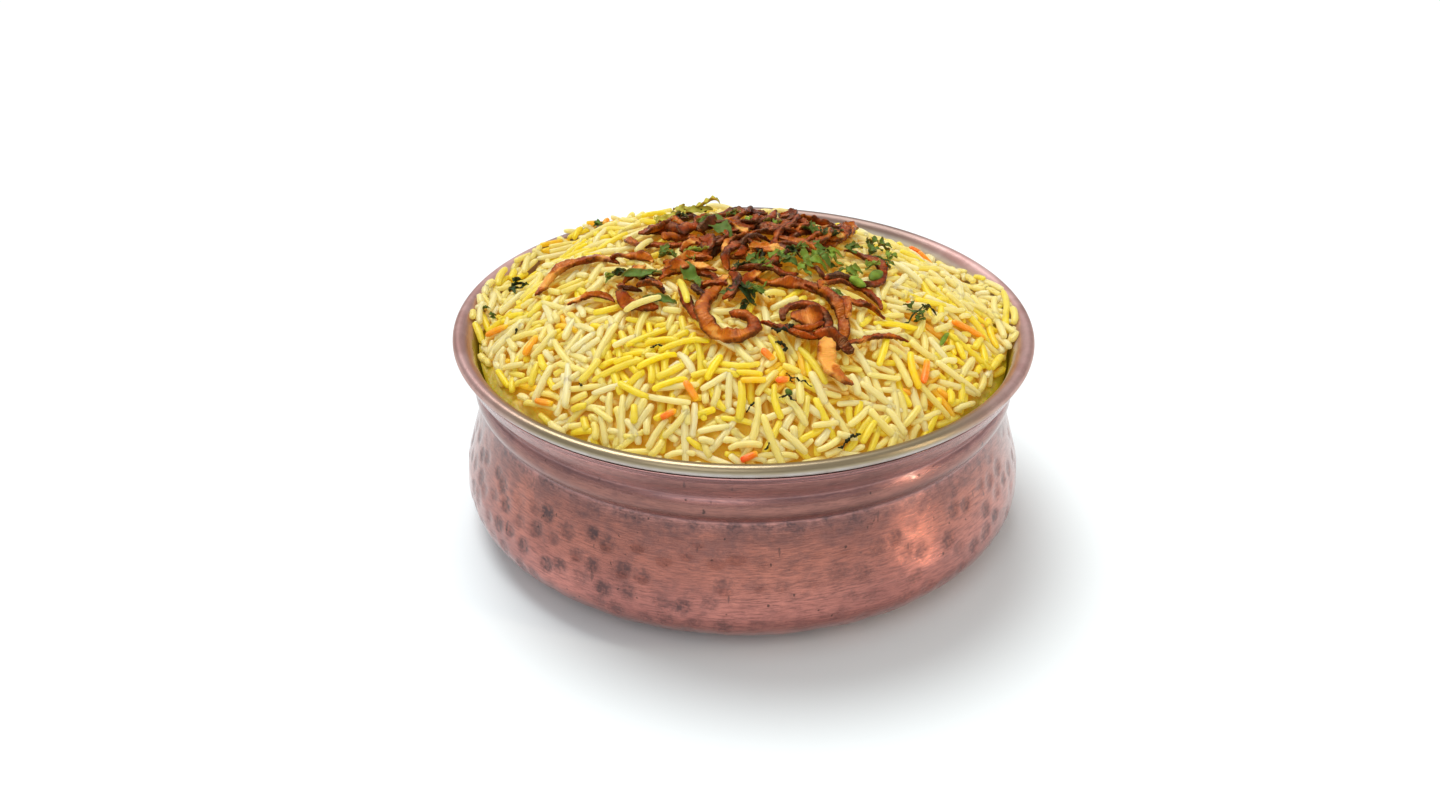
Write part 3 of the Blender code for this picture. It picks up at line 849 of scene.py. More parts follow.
def still_seen(laid):
    """The grains that later ones haven't buried: some station's top is near the surface."""
    points = np.array([line for line, _ in laid])
    half = np.array([width for _, width in laid])[:, None]
    top = points[..., 2] + half * GRAIN_FLATNESS * FULLNESS
    buried = field[field_index(points[..., 0], points[..., 1])] - top
    return [laid[index] for index in np.flatnonzero((buried < 0.35 * MM).any(axis=1))]


def grain_kinds(x, y):
    """Which grains are of which kind, by place and by chance, with the kind's colours at
    both its ends and its slot."""
    chance = rng.random(len(x))
    patch = smooth_noise(x, y, 17 * MM, 11)
    yellow = stain_at(YELLOW_STAINS, x, y) + 0.12 * patch
    orange = stain_at(ORANGE_STAINS, x, y)
    is_orange = (orange * 0.6 > rng.random(len(x))) | (rng.random(len(x)) < 0.006)
    is_yellow = ~is_orange & ((yellow * 0.9 > chance) | (chance < 0.05))
    is_white = ~is_orange & ~is_yellow & (rng.random(len(x)) < 0.30 - 0.2 * patch)
    is_pale = ~is_orange & ~is_yellow & ~is_white & (rng.random(len(x)) < 0.26 + 0.25 * patch)
    is_cream = ~(is_orange | is_yellow | is_white | is_pale)
    return (
        ("rice_white", is_white, WHITE, CREAM, "rice"),
        ("rice_cream", is_cream, CREAM * 0.4 + WHITE * 0.6, CREAM * 0.6 + PALE_YELLOW * 0.4, "rice"),
        ("rice_pale", is_pale, CREAM, PALE_YELLOW, "rice"),
        ("rice_yellow", is_yellow, PALE_YELLOW, STRONG_YELLOW, "yellow_rice"),
        ("rice_orange", is_orange, STRONG_YELLOW, ORANGE, "yellow_rice"),
    )


def grain_tints(base, points, share, tip):
    """A colour at each point of each grain: paler at one tip, with painted golden shade where
    the grain lies deep among others, and a painted glow that darkens its top and brightens
    its lower sides."""
    one_end = rng.choice([-1, 1], len(base))[:, None]
    fade = np.clip(0.2 + 0.5 * (one_end * share[None]) ** 3, 0, 0.7)[:, :, None]
    tint = base[:, None] * (1 - fade) + (base[:, None] * 0.5 + tip * 0.5) * fade
    body = points.reshape(len(base), -1, 3)
    depth = local_level(5)[field_index(body[..., 0], body[..., 1])] - body[..., 2]
    # Painted shade: points below the surrounding surface turn gold, the deeper the more
    for start, end, strength, colour in ((0.2, 1.7, 0.7, SHADED_GOLD), (1.1, 3.1, 0.8, DEEP_SHADE_GOLD)):
        sunk_shade = strength * np.clip((depth / MM - start) / (end - start), 0, 1)[..., None]
        tint = tint * (1 - sunk_shade) + colour * sunk_shade
    # Painted light: each grain's top is darkened and its lower sides and tips brightened, a painted glow
    # that softens its shading
    sides = np.tile(1.06 - 0.15 * np.sin(ROUND_GRAIN), len(STATIONS) - 2)
    painted_glow = np.concatenate([sides, [1.05, 1.05]])
    return np.clip(tint * painted_glow[None, :, None], 0, 1)


def make_grains(laid, finish):
    """Join the grains of each kind into one piece, oily brown near the fried onion."""
    laid = still_seen(laid)
    x, y, _ = np.array([points[4] for points, _ in laid]).T
    middle, half = np.array(FRIED_PLACE).T[..., None] * MM
    fried = np.exp(-(((np.array([x, y]) - middle) / half) ** 4).sum(axis=0))
    for name, chosen, first, second, slot_name in grain_kinds(x, y):
        members = [laid[index] for index in np.flatnonzero(chosen)]
        share_of_second = rng.uniform(0, 1, len(members))[:, None]
        base = first * (1 - share_of_second) + second * share_of_second
        base = base * rng.normal(1.0, 0.02, len(members))[:, None]
        oily = 0.75 * fried[chosen][:, None] * rng.uniform(0.1, 1, len(members))[:, None]
        base = base * (1 - oily) + OILY_BROWN * oily
        points, quads, caps, share = grain_meshes(members)
        tint = grain_tints(base, points, share, CREAM if slot_name == "rice" else PALE_YELLOW)
        made = mesh_from(name, points, quads, caps, colours=tint.reshape(-1, 3))
        finish_piece(made, slot_name, finish, "rice_heap")


# ---------------------------------------------------------------- fried onion

def strip_plan(strip, step=0.5 * MM):
    """Points along a strip in plan: its heading is heading + turn * s + coil * s^2
    degrees, with s from 0 to 1 along it."""
    count = int(strip.length * MM / step)
    share = (np.arange(count) + 0.5) / count
    heading = np.radians(strip.heading + strip.turn * share + strip.coil * share ** 2)
    x = strip.x * MM + np.concatenate([[0], np.cumsum(np.cos(heading))]) * step
    y = strip.y * MM + np.concatenate([[0], np.cumsum(np.sin(heading))]) * step
    return x, y


def heap_normal(x, y):
    """The heap's upward normal, felt over a few millimetres."""
    reach = 3 * MM
    normal = np.stack([heap_height(x - reach, y) - heap_height(x + reach, y),
                       heap_height(x, y - reach) - heap_height(x, y + reach),
                       np.full_like(x, 2 * reach)], axis=1)
    return normal / np.linalg.norm(normal, axis=1)[:, None]


STACK = 4.0 * MM                # toppings are pressed into one another towards this height
STAMPS_PER_MM = 3.4


def lay_band(x, y, half_width, thickness, reach):
    """Lay a flat band over the field: it clears what is under its width, bridges dips over
    a few points and follows the heap's slope. Above the heap's outline its height h is
    pressed to STACK * tanh(h / STACK). Returns its middle line, side and up."""
    up = heap_normal(x, y)
    run = np.stack([np.gradient(x), np.gradient(y), 0 * x], axis=1)
    across = np.cross(run, up)
    across /= np.linalg.norm(across, axis=1)[:, None]
    aside = np.array([-1, -0.5, 0, 0.5, 1])[:, None] * half_width
    under = field[field_index(x + aside * across[:, 0], y + aside * across[:, 1])]
    need = (under - aside * across[:, 2]).max(axis=0) + thickness / 2
    padded = np.pad(need, reach, mode="edge")
    windows = np.lib.stride_tricks.sliding_window_view(padded, 2 * reach + 1)
    high = np.percentile(windows, 85, axis=1)
    kernel = np.hanning(2 * reach + 3)[1:-1]
    height = np.convolve(np.pad(high, reach, mode="edge"), kernel / kernel.sum(), mode="valid")
    outline = heap_height(x, y)
    height = np.where(height > outline, outline + STACK * np.tanh((height - outline) / STACK), height)
    return np.stack([x, y, height], axis=1), across, up


def carry_section(line, across, up, half_width, half_thickness, cup, turn, ruffle):
    """A flat body swept along a line: its section runs round from side to side as
    width * cos and thickness * sin, thicker at the rims, with the rims lifted by cup and
    ruffled, and the whole section rolled by turn. Returns points, faces and a rim mask."""
    count, sections = ruffle.shape
    angle = np.linspace(0, math.tau, sections, endpoint=False)[None, :]
    side = np.sign(np.cos(angle)) * np.abs(np.cos(angle)) ** 0.9
    rim = side ** 2
    height = np.sin(angle) * half_thickness[:, None] * (1 + 0.4 * rim) + (cup[:, None] + ruffle) * rim
    side = side * half_width[:, None]
    turn = turn[:, None]
    lift = np.abs(np.sin(turn)) * half_width[:, None] * 0.6
    side, height = (side * np.cos(turn) - height * np.sin(turn),
                    side * np.sin(turn) + height * np.cos(turn) + lift)
    body = (line[:, None] + side[..., None] * across[:, None] + height[..., None] * up[:, None])
    tips = body[[0, -1]].mean(axis=1)
    points = np.concatenate([body.reshape(-1, 3), tips])
    rim = np.concatenate([np.broadcast_to(rim, (count, sections)).ravel(), [1, 1]])
    return (points, grid_faces(count, sections, closed_columns=True),
            end_caps(count, sections, count * sections), rim)


def stamp_shares(length, least):
    """Shares along a body of some mm, close enough for its stamps to leave no gap."""
    return np.linspace(-1, 1, max(int(length * STAMPS_PER_MM), least))


def taper(share, power):
    """Width along a body: a half sine to a power, never quite nothing."""
    return np.sin(math.pi * np.clip(share, 0.015, 0.985)) ** power


SLICE_WIDTH = 0.90              # a fried strip's width over its solid's
SECTION = 16                    # points round a strip


def fry_strip(strip, seed, roll, crumple, plump, blunt):
    """One fried strip: narrow and curled at its ends, its rims ruffled and shrunk, and
    ridged finely across. Returns its mesh arrays; the field rises to its top."""
    shape = np.random.default_rng(seed)
    x, y = strip_plan(strip, 0.3 * MM)
    half_width = strip.width * MM / 2 * SLICE_WIDTH
    line, across, up = lay_band(x, y, half_width * 0.9, STRIP_THICKNESS * plump, reach=11)
    share = np.linspace(0, 1, len(line))
    run = share * strip.length

    def wave(per_mm, amount=1.0):
        return amount * np.sin(run * per_mm + shape.uniform(0, math.tau))

    width = half_width * taper(share, blunt) * (1 + wave(0.75, 0.13) + wave(1.9, 0.06))
    thickness = STRIP_THICKNESS / 2 * plump * (1 + wave(0.5, 0.16)) * taper(share, 0.3)
    cup = 0.5 * MM * np.sin(run * 0.2 + shape.uniform(0, math.tau)) + 0.1 * MM
    left_and_right = np.linspace(0, math.tau, SECTION, endpoint=False)[None, :]
    ruffle = crumple * (wave(1.7, 0.3 * MM) * taper(share, 0.5))[:, None] * np.cos(left_and_right)
    ruffle = ruffle + (wave(4.1, 0.13 * MM) + wave(7.3, 0.07 * MM))[:, None]
    turn = (wave(0.17, roll) + wave(0.45, 0.18)) * min(1, blunt * 3)
    made = carry_section(line, across, up, width, thickness, cup, turn, ruffle)
    top = line + up * (np.abs(np.sin(turn)) * width * 0.6)[:, None]
    stamp(top, half_width * 0.95, STRIP_THICKNESS / 2 * plump, None, stamp_shares(strip.length, 12))
    dark = 0.12 * np.sin(run * 0.6 + seed) + 0.36 * (share - 0.5)
    return made, dark, run


def make_onion(name, strips, looks, finish, seed, roll=0.4, crumple=1.0):
    """Fried strips joined into one piece, each with its rim, darkness and length marked; the
    darkness also holds painted shade where a strip lies deep among others.
    """
    parts = []
    for index, (strip, (dark, plump, blunt)) in enumerate(zip(strips, looks)):
        mesh_arrays, dark_wave, run = fry_strip(strip, seed + index, roll, crumple, plump, blunt)
        points, quads, caps, rim = mesh_arrays
        ring_dark = np.concatenate([np.repeat(dark + dark_wave, SECTION), [dark, dark]])
        across_share = np.tile(np.linspace(0, 1, SECTION), len(run))
        uv = np.stack([np.concatenate([np.repeat(run, SECTION), [0, run[-1]]]) / 10 + seed + index,
                       np.concatenate([across_share, [0, 0]])], axis=1)
        parts.append((points, quads, caps, {"rim": rim, "dark": np.clip(ring_dark, -0.2, 1.1)}, uv))
    points, quads, caps, masks, uv = join_parts(parts)
    # Painted shade: points lying below the surrounding surface are darkened, the deeper the more
    depth = local_level(7)[field_index(points[:, 0], points[:, 1])] - points[:, 2]
    sunk_shade = np.clip(depth / (1.7 * MM), 0, 1)
    masks["dark"] = np.clip(masks["dark"] + 0.9 * sunk_shade, -0.2, 1.3)
    made = mesh_from(name, points, quads, caps, masks=masks, uv=uv)
    turn_out(made.data)
    return finish_piece(made, "fried_onion", finish)


def join_parts(parts):
    """Join several bodies' arrays (points, quads, triangles, masks, uv) into one."""
    starts = np.concatenate([[0], np.cumsum([len(part[0]) for part in parts])[:-1]])
    masks = {key: np.concatenate([part[3][key] for part in parts]) for key in parts[0][3]}
    return (np.concatenate([part[0] for part in parts]),
            np.concatenate([part[1] + start for part, start in zip(parts, starts)]),
            np.concatenate([part[2] + start for part, start in zip(parts, starts)]),
            masks, np.concatenate([part[4] for part in parts]))


# How dark each strip fried, from 0 to 1, how plump it is and how blunt its ends are
STRIP_LOOKS = {
    "curl": (0.42, 2.0, 0.22), "pale_end": (0.02, 1.5, 0.3), "left_long": (0.34, 1.7, 0.25),
    "wave_right": (0.40, 1.4, 0.4), "wave_left": (0.50, 1.2, 0.4), "left_thin": (0.40, 1.2, 0.4),
    "right_thin": (0.40, 1.0, 0.5), "curl_back": (0.55, 1.2, 0.4), "right_arc": (0.50, 1.3, 0.4),
    "ring": (1.0, 1.9, 0.15), "dark_fold": (0.95, 1.2, 0.3), "front_thin": (0.55, 1.0, 0.4),
    "right_strip": (0.45, 1.2, 0.4), "back_arc": (0.55, 1.2, 0.4), "far_arc": (0.80, 1.3, 0.4),
    "left_hook": (0.60, 1.3, 0.3), "tangle_front_left": (0.55, 1.3, 0.4),
}
TANGLE_DARKS = (0.55, 0.95, 0.70, 0.42, 1.05, 0.65)
SLIVER_LOOK = (1.3, 0.35)       # plumpness and bluntness of the loose slivers
SLIVER_SPREAD = 34              # half width in mm of the fields that slivers lie in
SLIVER_FIELDS = ((38, 14, 21), (18, -10, 11))  # how many, and the middle and half depth in mm
# Slivers away from the tangle: x, y, heading, length, turn, coil, width
FURTHER_SLIVERS = (
    (-37, -20, -60, 9, 60, 0, 3.0), (-31, -24, 10, 8, -50, 0, 3.6), (24, -20, 60, 9, -80, 0, 3.2),
    (13.5, -39, 0, 9, 20, 0, 8.0), (14, -44, -10, 10, 60, 0, 2.6), (30, -38, 80, 9, 40, 0, 3.0),
    (-12, -24, 20, 8, -60, 0, 2.4),
)


def make_onions(finish):
    """Every strip in the solids' order, each standing for its own solid, then loose
    slivers that fill the tangle."""
    for index, strip in enumerate(ONION_STRIPS):
        look = STRIP_LOOKS.get(strip.name, (TANGLE_DARKS[index % len(TANGLE_DARKS)], *SLIVER_LOOK))
        made = make_onion("fried_" + strip.name, [strip], [look], finish, 100 + index)
        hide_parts("onion_" + strip.name)
    loose = np.random.default_rng(61)
    slivers = []
    for count, middle, spread in SLIVER_FIELDS:
        for _ in range(count):
            angle = loose.uniform(0, math.tau)
            out = math.sqrt(loose.random())
            x = SLIVER_SPREAD * out * math.cos(angle)
            y = middle + spread * out * math.sin(angle)
            slivers.append(Strip("sliver", x, y, loose.uniform(0, 360), loose.uniform(9, 19),
                                 loose.uniform(-180, 180), 0, loose.uniform(2.8, 4.8)))
    slivers += [Strip("sliver", *sliver) for sliver in FURTHER_SLIVERS]
    looks = [(dark, *SLIVER_LOOK) for dark in loose.uniform(0.2, 1.15, len(slivers))]
    make_onion("fried_slivers", slivers, looks, finish, 300, 0.7, 1.3)


# ---------------------------------------------------------------- herbs and small bits

BRIGHT = (0.15, 0.225, 0.024)
MID = (0.072, 0.120, 0.017)
DEEP = (0.018, 0.032, 0.009)
OLIVE = (0.36, 0.31, 0.035)
CHAR = (0.012, 0.007, 0.006)
# Leaves: x, y, heading, length, width, shade, shape. A lance is one long blade, upright
# if it stands; a bud is blunt and thick; lobed and curled leaves are of three leaflets
LEAVES = (
    (-36, -17, 0, 12, 3.6, MID, "lance"), (-31, -19, 30, 8, 3.0, MID, "lance"),
    (-29, -28, -8, 11, 2.8, MID, "lance"), (-18, -12, -66, 15, 4.0, MID, "lance"),
    (-26, -1, 0, 8, 4.0, MID, "lobed"), (-18, -5, -15, 9, 3.6, BRIGHT, "lobed"),
    (-13, 23, -57, 22, 5.2, MID, "lance"), (-15, 17, 10, 8, 3.6, MID, "lobed"),
    (-28, 21, 45, 11, 3.4, OLIVE, "lobed"), (-22, 24, 30, 6, 2.6, DEEP, "curled"),
    (-50, 42, 0, 5, 2.4, MID, "lobed"), (-39, -14, 30, 6, 3.0, DEEP, "curled"),
    (-41, -16, 20, 4, 2.0, BRIGHT, "lobed"), (-7, -30, 5, 5, 1.6, MID, "lance"),
    (-2, -25, -72, 11, 3.4, DEEP, "lobed"), (1, -29, 40, 6, 2.6, MID, "lobed"),
    (-2, -17, 58, 8, 2.8, DEEP, "curled"), (1, -11, 50, 9, 3.0, MID, "lobed"),
    (4, -16, 20, 7, 2.6, BRIGHT, "lobed"), (8, -11, 66, 11, 3.0, BRIGHT, "lobed"),
    (11, -13, 60, 9, 3.4, MID, "lobed"), (15, 0, 42, 7, 3.0, MID, "lobed"),
    (12, -4, 10, 7, 2.4, DEEP, "curled"), (18, -8, 50, 11, 3.6, BRIGHT, "lobed"),
    (17, -11, -50, 7, 3.0, BRIGHT, "lobed"), (22, -4, 20, 8, 3.4, MID, "lobed"),
    (25, 7, 65, 9, 4.2, DEEP, "lobed"), (22, 12, 100, 8, 3.6, MID, "curled"),
    (21, 0, 61, 7, 2.8, MID, "lobed"), (25, 0, -24, 8, 2.8, BRIGHT, "lobed"),
    (31, -8, -40, 7, 3.0, BRIGHT, "lobed"), (31, 5, -20, 7, 2.4, MID, "lobed"),
    (27, -12, 10, 6, 2.4, MID, "curled"), (39, 8, 66, 8, 3.0, MID, "lobed"),
    (42, 12, 20, 6, 3.2, MID, "lobed"), (41, 17, 110, 6, 3.0, MID, "lobed"),
    (45, 9, -60, 5, 2.4, BRIGHT, "lobed"), (43, -5, 40, 4, 1.4, MID, "lobed"),
    (31, -16, -33, 6, 2.8, BRIGHT, "bud"), (37, -6, 39, 6, 2.6, BRIGHT, "lobed"),
    (38, -14, 65, 7, 3.0, BRIGHT, "bud"), (25, -24, -32, 6, 2.2, MID, "curled"),
    (3, -30, 50, 7, 2.6, MID, "lobed"), (-1, -34, 20, 4, 2.0, DEEP, "curled"),
    (1, 21, 55, 6, 2.6, BRIGHT, "lobed"), (6, 20, 20, 4, 2.2, MID, "lobed"),
    (10, 18, 68, 4, 2.0, BRIGHT, "lobed"), (-6, 30, 0, 6, 2.6, MID, "lobed"),
    (50, -26, 0, 4, 1.8, MID, "curled"), (51, -27, 76, 7, 1.6, MID, "lobed"),
    (53, -23, 55, 6, 1.6, DEEP, "lobed"), (50, -22, 130, 4, 1.4, MID, "lobed"),
    (58, -30, 74, 6, 1.4, BRIGHT, "bud"), (12, -64, 45, 2.2, 2.0, MID, "bud"),
    (-74, 8, -20, 8, 2.4, DEEP, "curled"), (-73, 13, 70, 4, 1.4, DEEP, "curled"),
    (-82, 3, 30, 3, 1.8, MID, "lobed"), (-79, -2, -20, 3, 1.6, MID, "lobed"),
    (-24, 36, 10, 10, 4.6, OLIVE, "lobed"), (-18, 36, -5, 11, 3.6, OLIVE, "upright"),
    (-19, 33, 10, 9, 3.4, OLIVE, "lance"),
)
# Stalks and burnt threads: x, y, heading, length, turn, coil, width, shade
STALKS = (
    (39, 7, -16, 9, -20, 0, 0.8, MID), (47, -29, 40, 10, 20, 0, 0.6, DEEP),
    (2, -27, 30, 8, 40, 0, 0.7, BRIGHT),
)
THREADS = (
    (12, -57, -40, 8, 30, 0, 0.55, CHAR), (10, -60, 60, 5, -120, 0, 0.5, CHAR),
    (10, -65, 10, 5, -60, 0, 0.7, CHAR), (26, -74, 28, 8, 20, 0, 0.9, CHAR),
    (6, -77, 20, 3, 60, 0, 0.6, CHAR), (1, -68, 12, 3, 60, 0, 0.6, CHAR),
    (8, -45, -30, 7, 90, 0, 1.3, CHAR), (9, -48, 40, 5, -160, 0, 1.1, CHAR),
    (-46, -53, -38, 2, 0, 0, 0.6, CHAR), (-26, -47, 33, 4, -70, 0, 0.6, CHAR),
    (-15, 34, 20, 4, 50, 0, 1.1, CHAR), (5, -9, 60, 7, 80, 0, 1.2, CHAR),
    (-56, 5, 40, 4, -80, 0, 0.8, CHAR), (-68, -22, 80, 3, 40, 0, 0.6, CHAR),
    (-14, 62, 60, 3, 20, 0, 0.9, CHAR),
)
# Leaflets of a lobed leaf: start along its length, degrees to the side, share of its size
LEAFLETS = ((0.0, 0.0, 1.0), (0.1, 36, 0.78), (0.12, -38, 0.74))
BLADE_SECTION = 10              # points round a blade
THREAD_SECTION = 8              # and round a stalk or a thread


def blade_width(share, form, wave):
    """Half width of a blade over its widest: pointed, and cut into teeth where it is a
    leaflet; a bud is blunt."""
    if form == "bud":
        return np.sin(math.pi * np.clip(share, 0.02, 0.98)) ** 0.5
    pointed = np.sin(math.pi * np.clip(share, 0.02, 0.985) ** 0.8) ** 0.8
    if form == "lance":
        return pointed * (1 + 0.07 * np.sin(share * 26 + wave))
    return pointed * (0.68 + 0.32 * np.abs(np.sin(share * math.pi * 3.5 + wave)))


def blade_part(strip, shade, form, shape):
    """One thin blade laid on the heap, cupped along its vein, crinkled and tipped."""
    plan_x, plan_y = strip_plan(strip, 0.3 * MM)
    line, across, up = lay_band(plan_x, plan_y, strip.width * MM * 0.3, 0.25 * MM, reach=7)
    share = np.linspace(0, 1, len(line))
    wave = shape.uniform(0, math.tau)
    plump = form == "bud"
    crinkle = {"bud": 0.0, "lance": 0.2}.get(form, 0.38) * MM
    rise = 6.0 * MM * share if form == "upright" else crinkle * (1 + np.sin(share * strip.length + wave))
    line = line + up * (rise * taper(share, 0.3))[:, None]
    angle = np.linspace(0, math.tau, BLADE_SECTION, endpoint=False)[None, :]
    ruffle = crinkle * np.sin(share * strip.length * 2.1 + wave)[:, None] * np.cos(angle)
    thick = np.full(len(line), strip.width * 0.3 * MM if plump else 0.14 * MM) * taper(share, 0.5)
    fold = 0.0 if plump else shape.uniform(0.15, 0.6) * strip.width * MM / 2
    turn = 0.0 if plump else shape.uniform(-0.55, 0.55)
    turn = turn + (form == "curled") * 0.7 * np.sin(share * 5 + wave)
    points, quads, caps, rim = carry_section(
        line, across, up, strip.width * MM / 2 * blade_width(share, form, wave), thick,
        np.full(len(line), fold), turn + 0 * share, ruffle)
    stamp(line, strip.width * MM * 0.35, 0.25 * MM, None, stamp_shares(strip.length, 8))
    pale = 0.8 + 0.35 * np.abs(np.sin(share * 7 + wave))[:, None] + 0.2 * np.sin(angle)
    pale = pale.ravel()
    colour = (np.array(shade) * shape.uniform(0.75, 1.3))[None] * np.concatenate([pale, [1, 1]])[:, None]
    return coloured_part(points, quads, caps, rim, colour)


def coloured_part(points, quads, caps, rim, colour):
    """Mesh arrays that carry their own colour, in the shape that join_parts takes."""
    masks = {"rim": rim, "red": colour[:, 0], "green": colour[:, 1], "blue": colour[:, 2]}
    return points, quads, caps, masks, np.zeros((len(points), 2))


def make_coloured(name, parts, finish, slot_name):
    """Join coloured parts into one piece with its tint."""
    points, quads, caps, masks, _ = join_parts(parts)
    colours = np.stack([masks["red"], masks["green"], masks["blue"]], axis=1)
    made = mesh_from(name, points, quads, caps, colours=np.clip(colours, 0, 1))
    turn_out(made.data)
    finish_piece(made, slot_name, finish)


def make_leaves(finish):
    """Herb leaves and buds with their stalks: a lobed or curled leaf is three toothed
    leaflets that spread from one stalk, each with its own tilt."""
    parts = []
    for index, (x, y, heading, length, width, shade, form) in enumerate(LEAVES):
        shape = np.random.default_rng(500 + index)
        if form not in ("lobed", "curled"):
            strip = Strip("leaf", x, y, heading, length, shape.uniform(-35, 35), 0, width * 1.2)
            parts.append(blade_part(strip, shade, form, shape))
            continue
        length = length * 0.8
        for start, spread, size in LEAFLETS:
            aim = heading + spread + shape.uniform(-12, 12)
            root_x = x + start * length * math.cos(math.radians(heading))
            root_y = y + start * length * math.sin(math.radians(heading))
            strip = Strip("leaflet", root_x, root_y, aim, length * size * 1.1, shape.uniform(-50, 50), 0,
                          width * (0.5 + 0.5 * size))
            parts.append(blade_part(strip, shade, form, shape))
    for index, (*plan, shade) in enumerate(STALKS):
        parts.append(thread_part(Strip("stalk", *plan), shade, 700 + index, 0.1))
    make_coloured("herb_leaves", parts, finish, "herb")


def thread_part(strip, shade, seed, kink):
    """A thin round thread laid on the heap, uneven and kinked."""
    shape = np.random.default_rng(seed)
    x, y = strip_plan(strip, 0.25 * MM)
    half = strip.width * MM / 2
    line, across, up = lay_band(x, y, half, half, reach=5)
    share = np.linspace(0, 1, len(line))
    run = share * strip.length
    thick = half * taper(share, 0.35) * (1 + kink * np.sin(run * 3.1 + seed) + kink * np.sin(run * 7.7))
    line = line + up * (kink * 0.8 * MM * (1 + np.sin(run * 1.9 + seed)))[:, None]
    line = line + across * (kink * 0.6 * MM * np.sin(run * 2.7 + seed))[:, None]
    flat = np.zeros(len(line))
    smooth = np.zeros((len(line), THREAD_SECTION))
    points, quads, caps, rim = carry_section(line, across, up, thick, thick * 0.7, flat, flat, smooth)
    colour = np.tile(np.array(shade) * shape.uniform(0.8, 1.3), (len(points), 1))
    return coloured_part(points, quads, caps, rim, colour)


def make_threads(finish):
    """Burnt threads of onion and spice, kinked and nearly black, as one piece."""
    make_coloured("burnt_threads", [thread_part(Strip("thread", *plan), shade, 800 + index, 0.35)
                                    for index, (*plan, shade) in enumerate(THREADS)], finish, "spice")


# Stained grains by place: x, y, heading, length in mm, and how red, from yellow at 0
STAINED_GRAINS = (
    (2, -79, 20, 4.6, 1.0), (16, -77, 15, 5.5, 1.0), (11, -60, 20, 3.6, 0.9), (7, -53, -43, 4.2, 0.8),
    (-20, -68, 12, 4.2, 0.8), (-14, -63, -45, 5.0, 0.6), (52, -46, 78, 9.5, 0.75),
    (48, -47, 100, 11, 0.1), (-56, -54, -37, 6.5, 0.5), (58, 36, 20, 6.5, 0.8), (60, 33, -30, 5.0, 0.6),
    (-75, -14, -16, 7.5, 0.45), (-62, -32, 70, 8.0, 0.4), (68, -17, 20, 12, 0.5),
    (62, -20, 38, 10, 0.45), (-24, -52, 25, 12, 0.0), (-30, -56, 12, 12, 0.05), (-20, -60, 20, 10, 0.0),
    (-8, -56, 60, 8, 0.0), (3, -61, 0, 7, 0.2),
)
RED = np.array([0.76, 0.06, 0.003])


def make_stained(finish):
    """Single grains stained yellow, orange or red by saffron and spice."""
    laid, colours = [], []
    for *place, redness in STAINED_GRAINS:
        one = lay_one(*place, 1.15 * MM, rng.normal(0, 0.4), 4 * MM)
        laid += one
        less_red, redder = (STRONG_YELLOW, ORANGE) if redness < 0.5 else (ORANGE, RED)
        share = redness * 2 % 1 if redness < 1 else 1.0
        colours += [less_red * (1 - share) + redder * share] * len(one)
    points, quads, caps, share = grain_meshes(laid)
    fade = np.clip(0.15 + 0.5 * share ** 3, 0, 1)[None, :, None]
    tint = np.array(colours)[:, None] * (1 - fade) + STRONG_YELLOW * fade
    made = mesh_from("stained_grains", points, quads, caps, colours=np.clip(tint, 0, 1).reshape(-1, 3))
    finish_piece(made, "spice", finish)


# ---------------------------------------------------------------- finishes

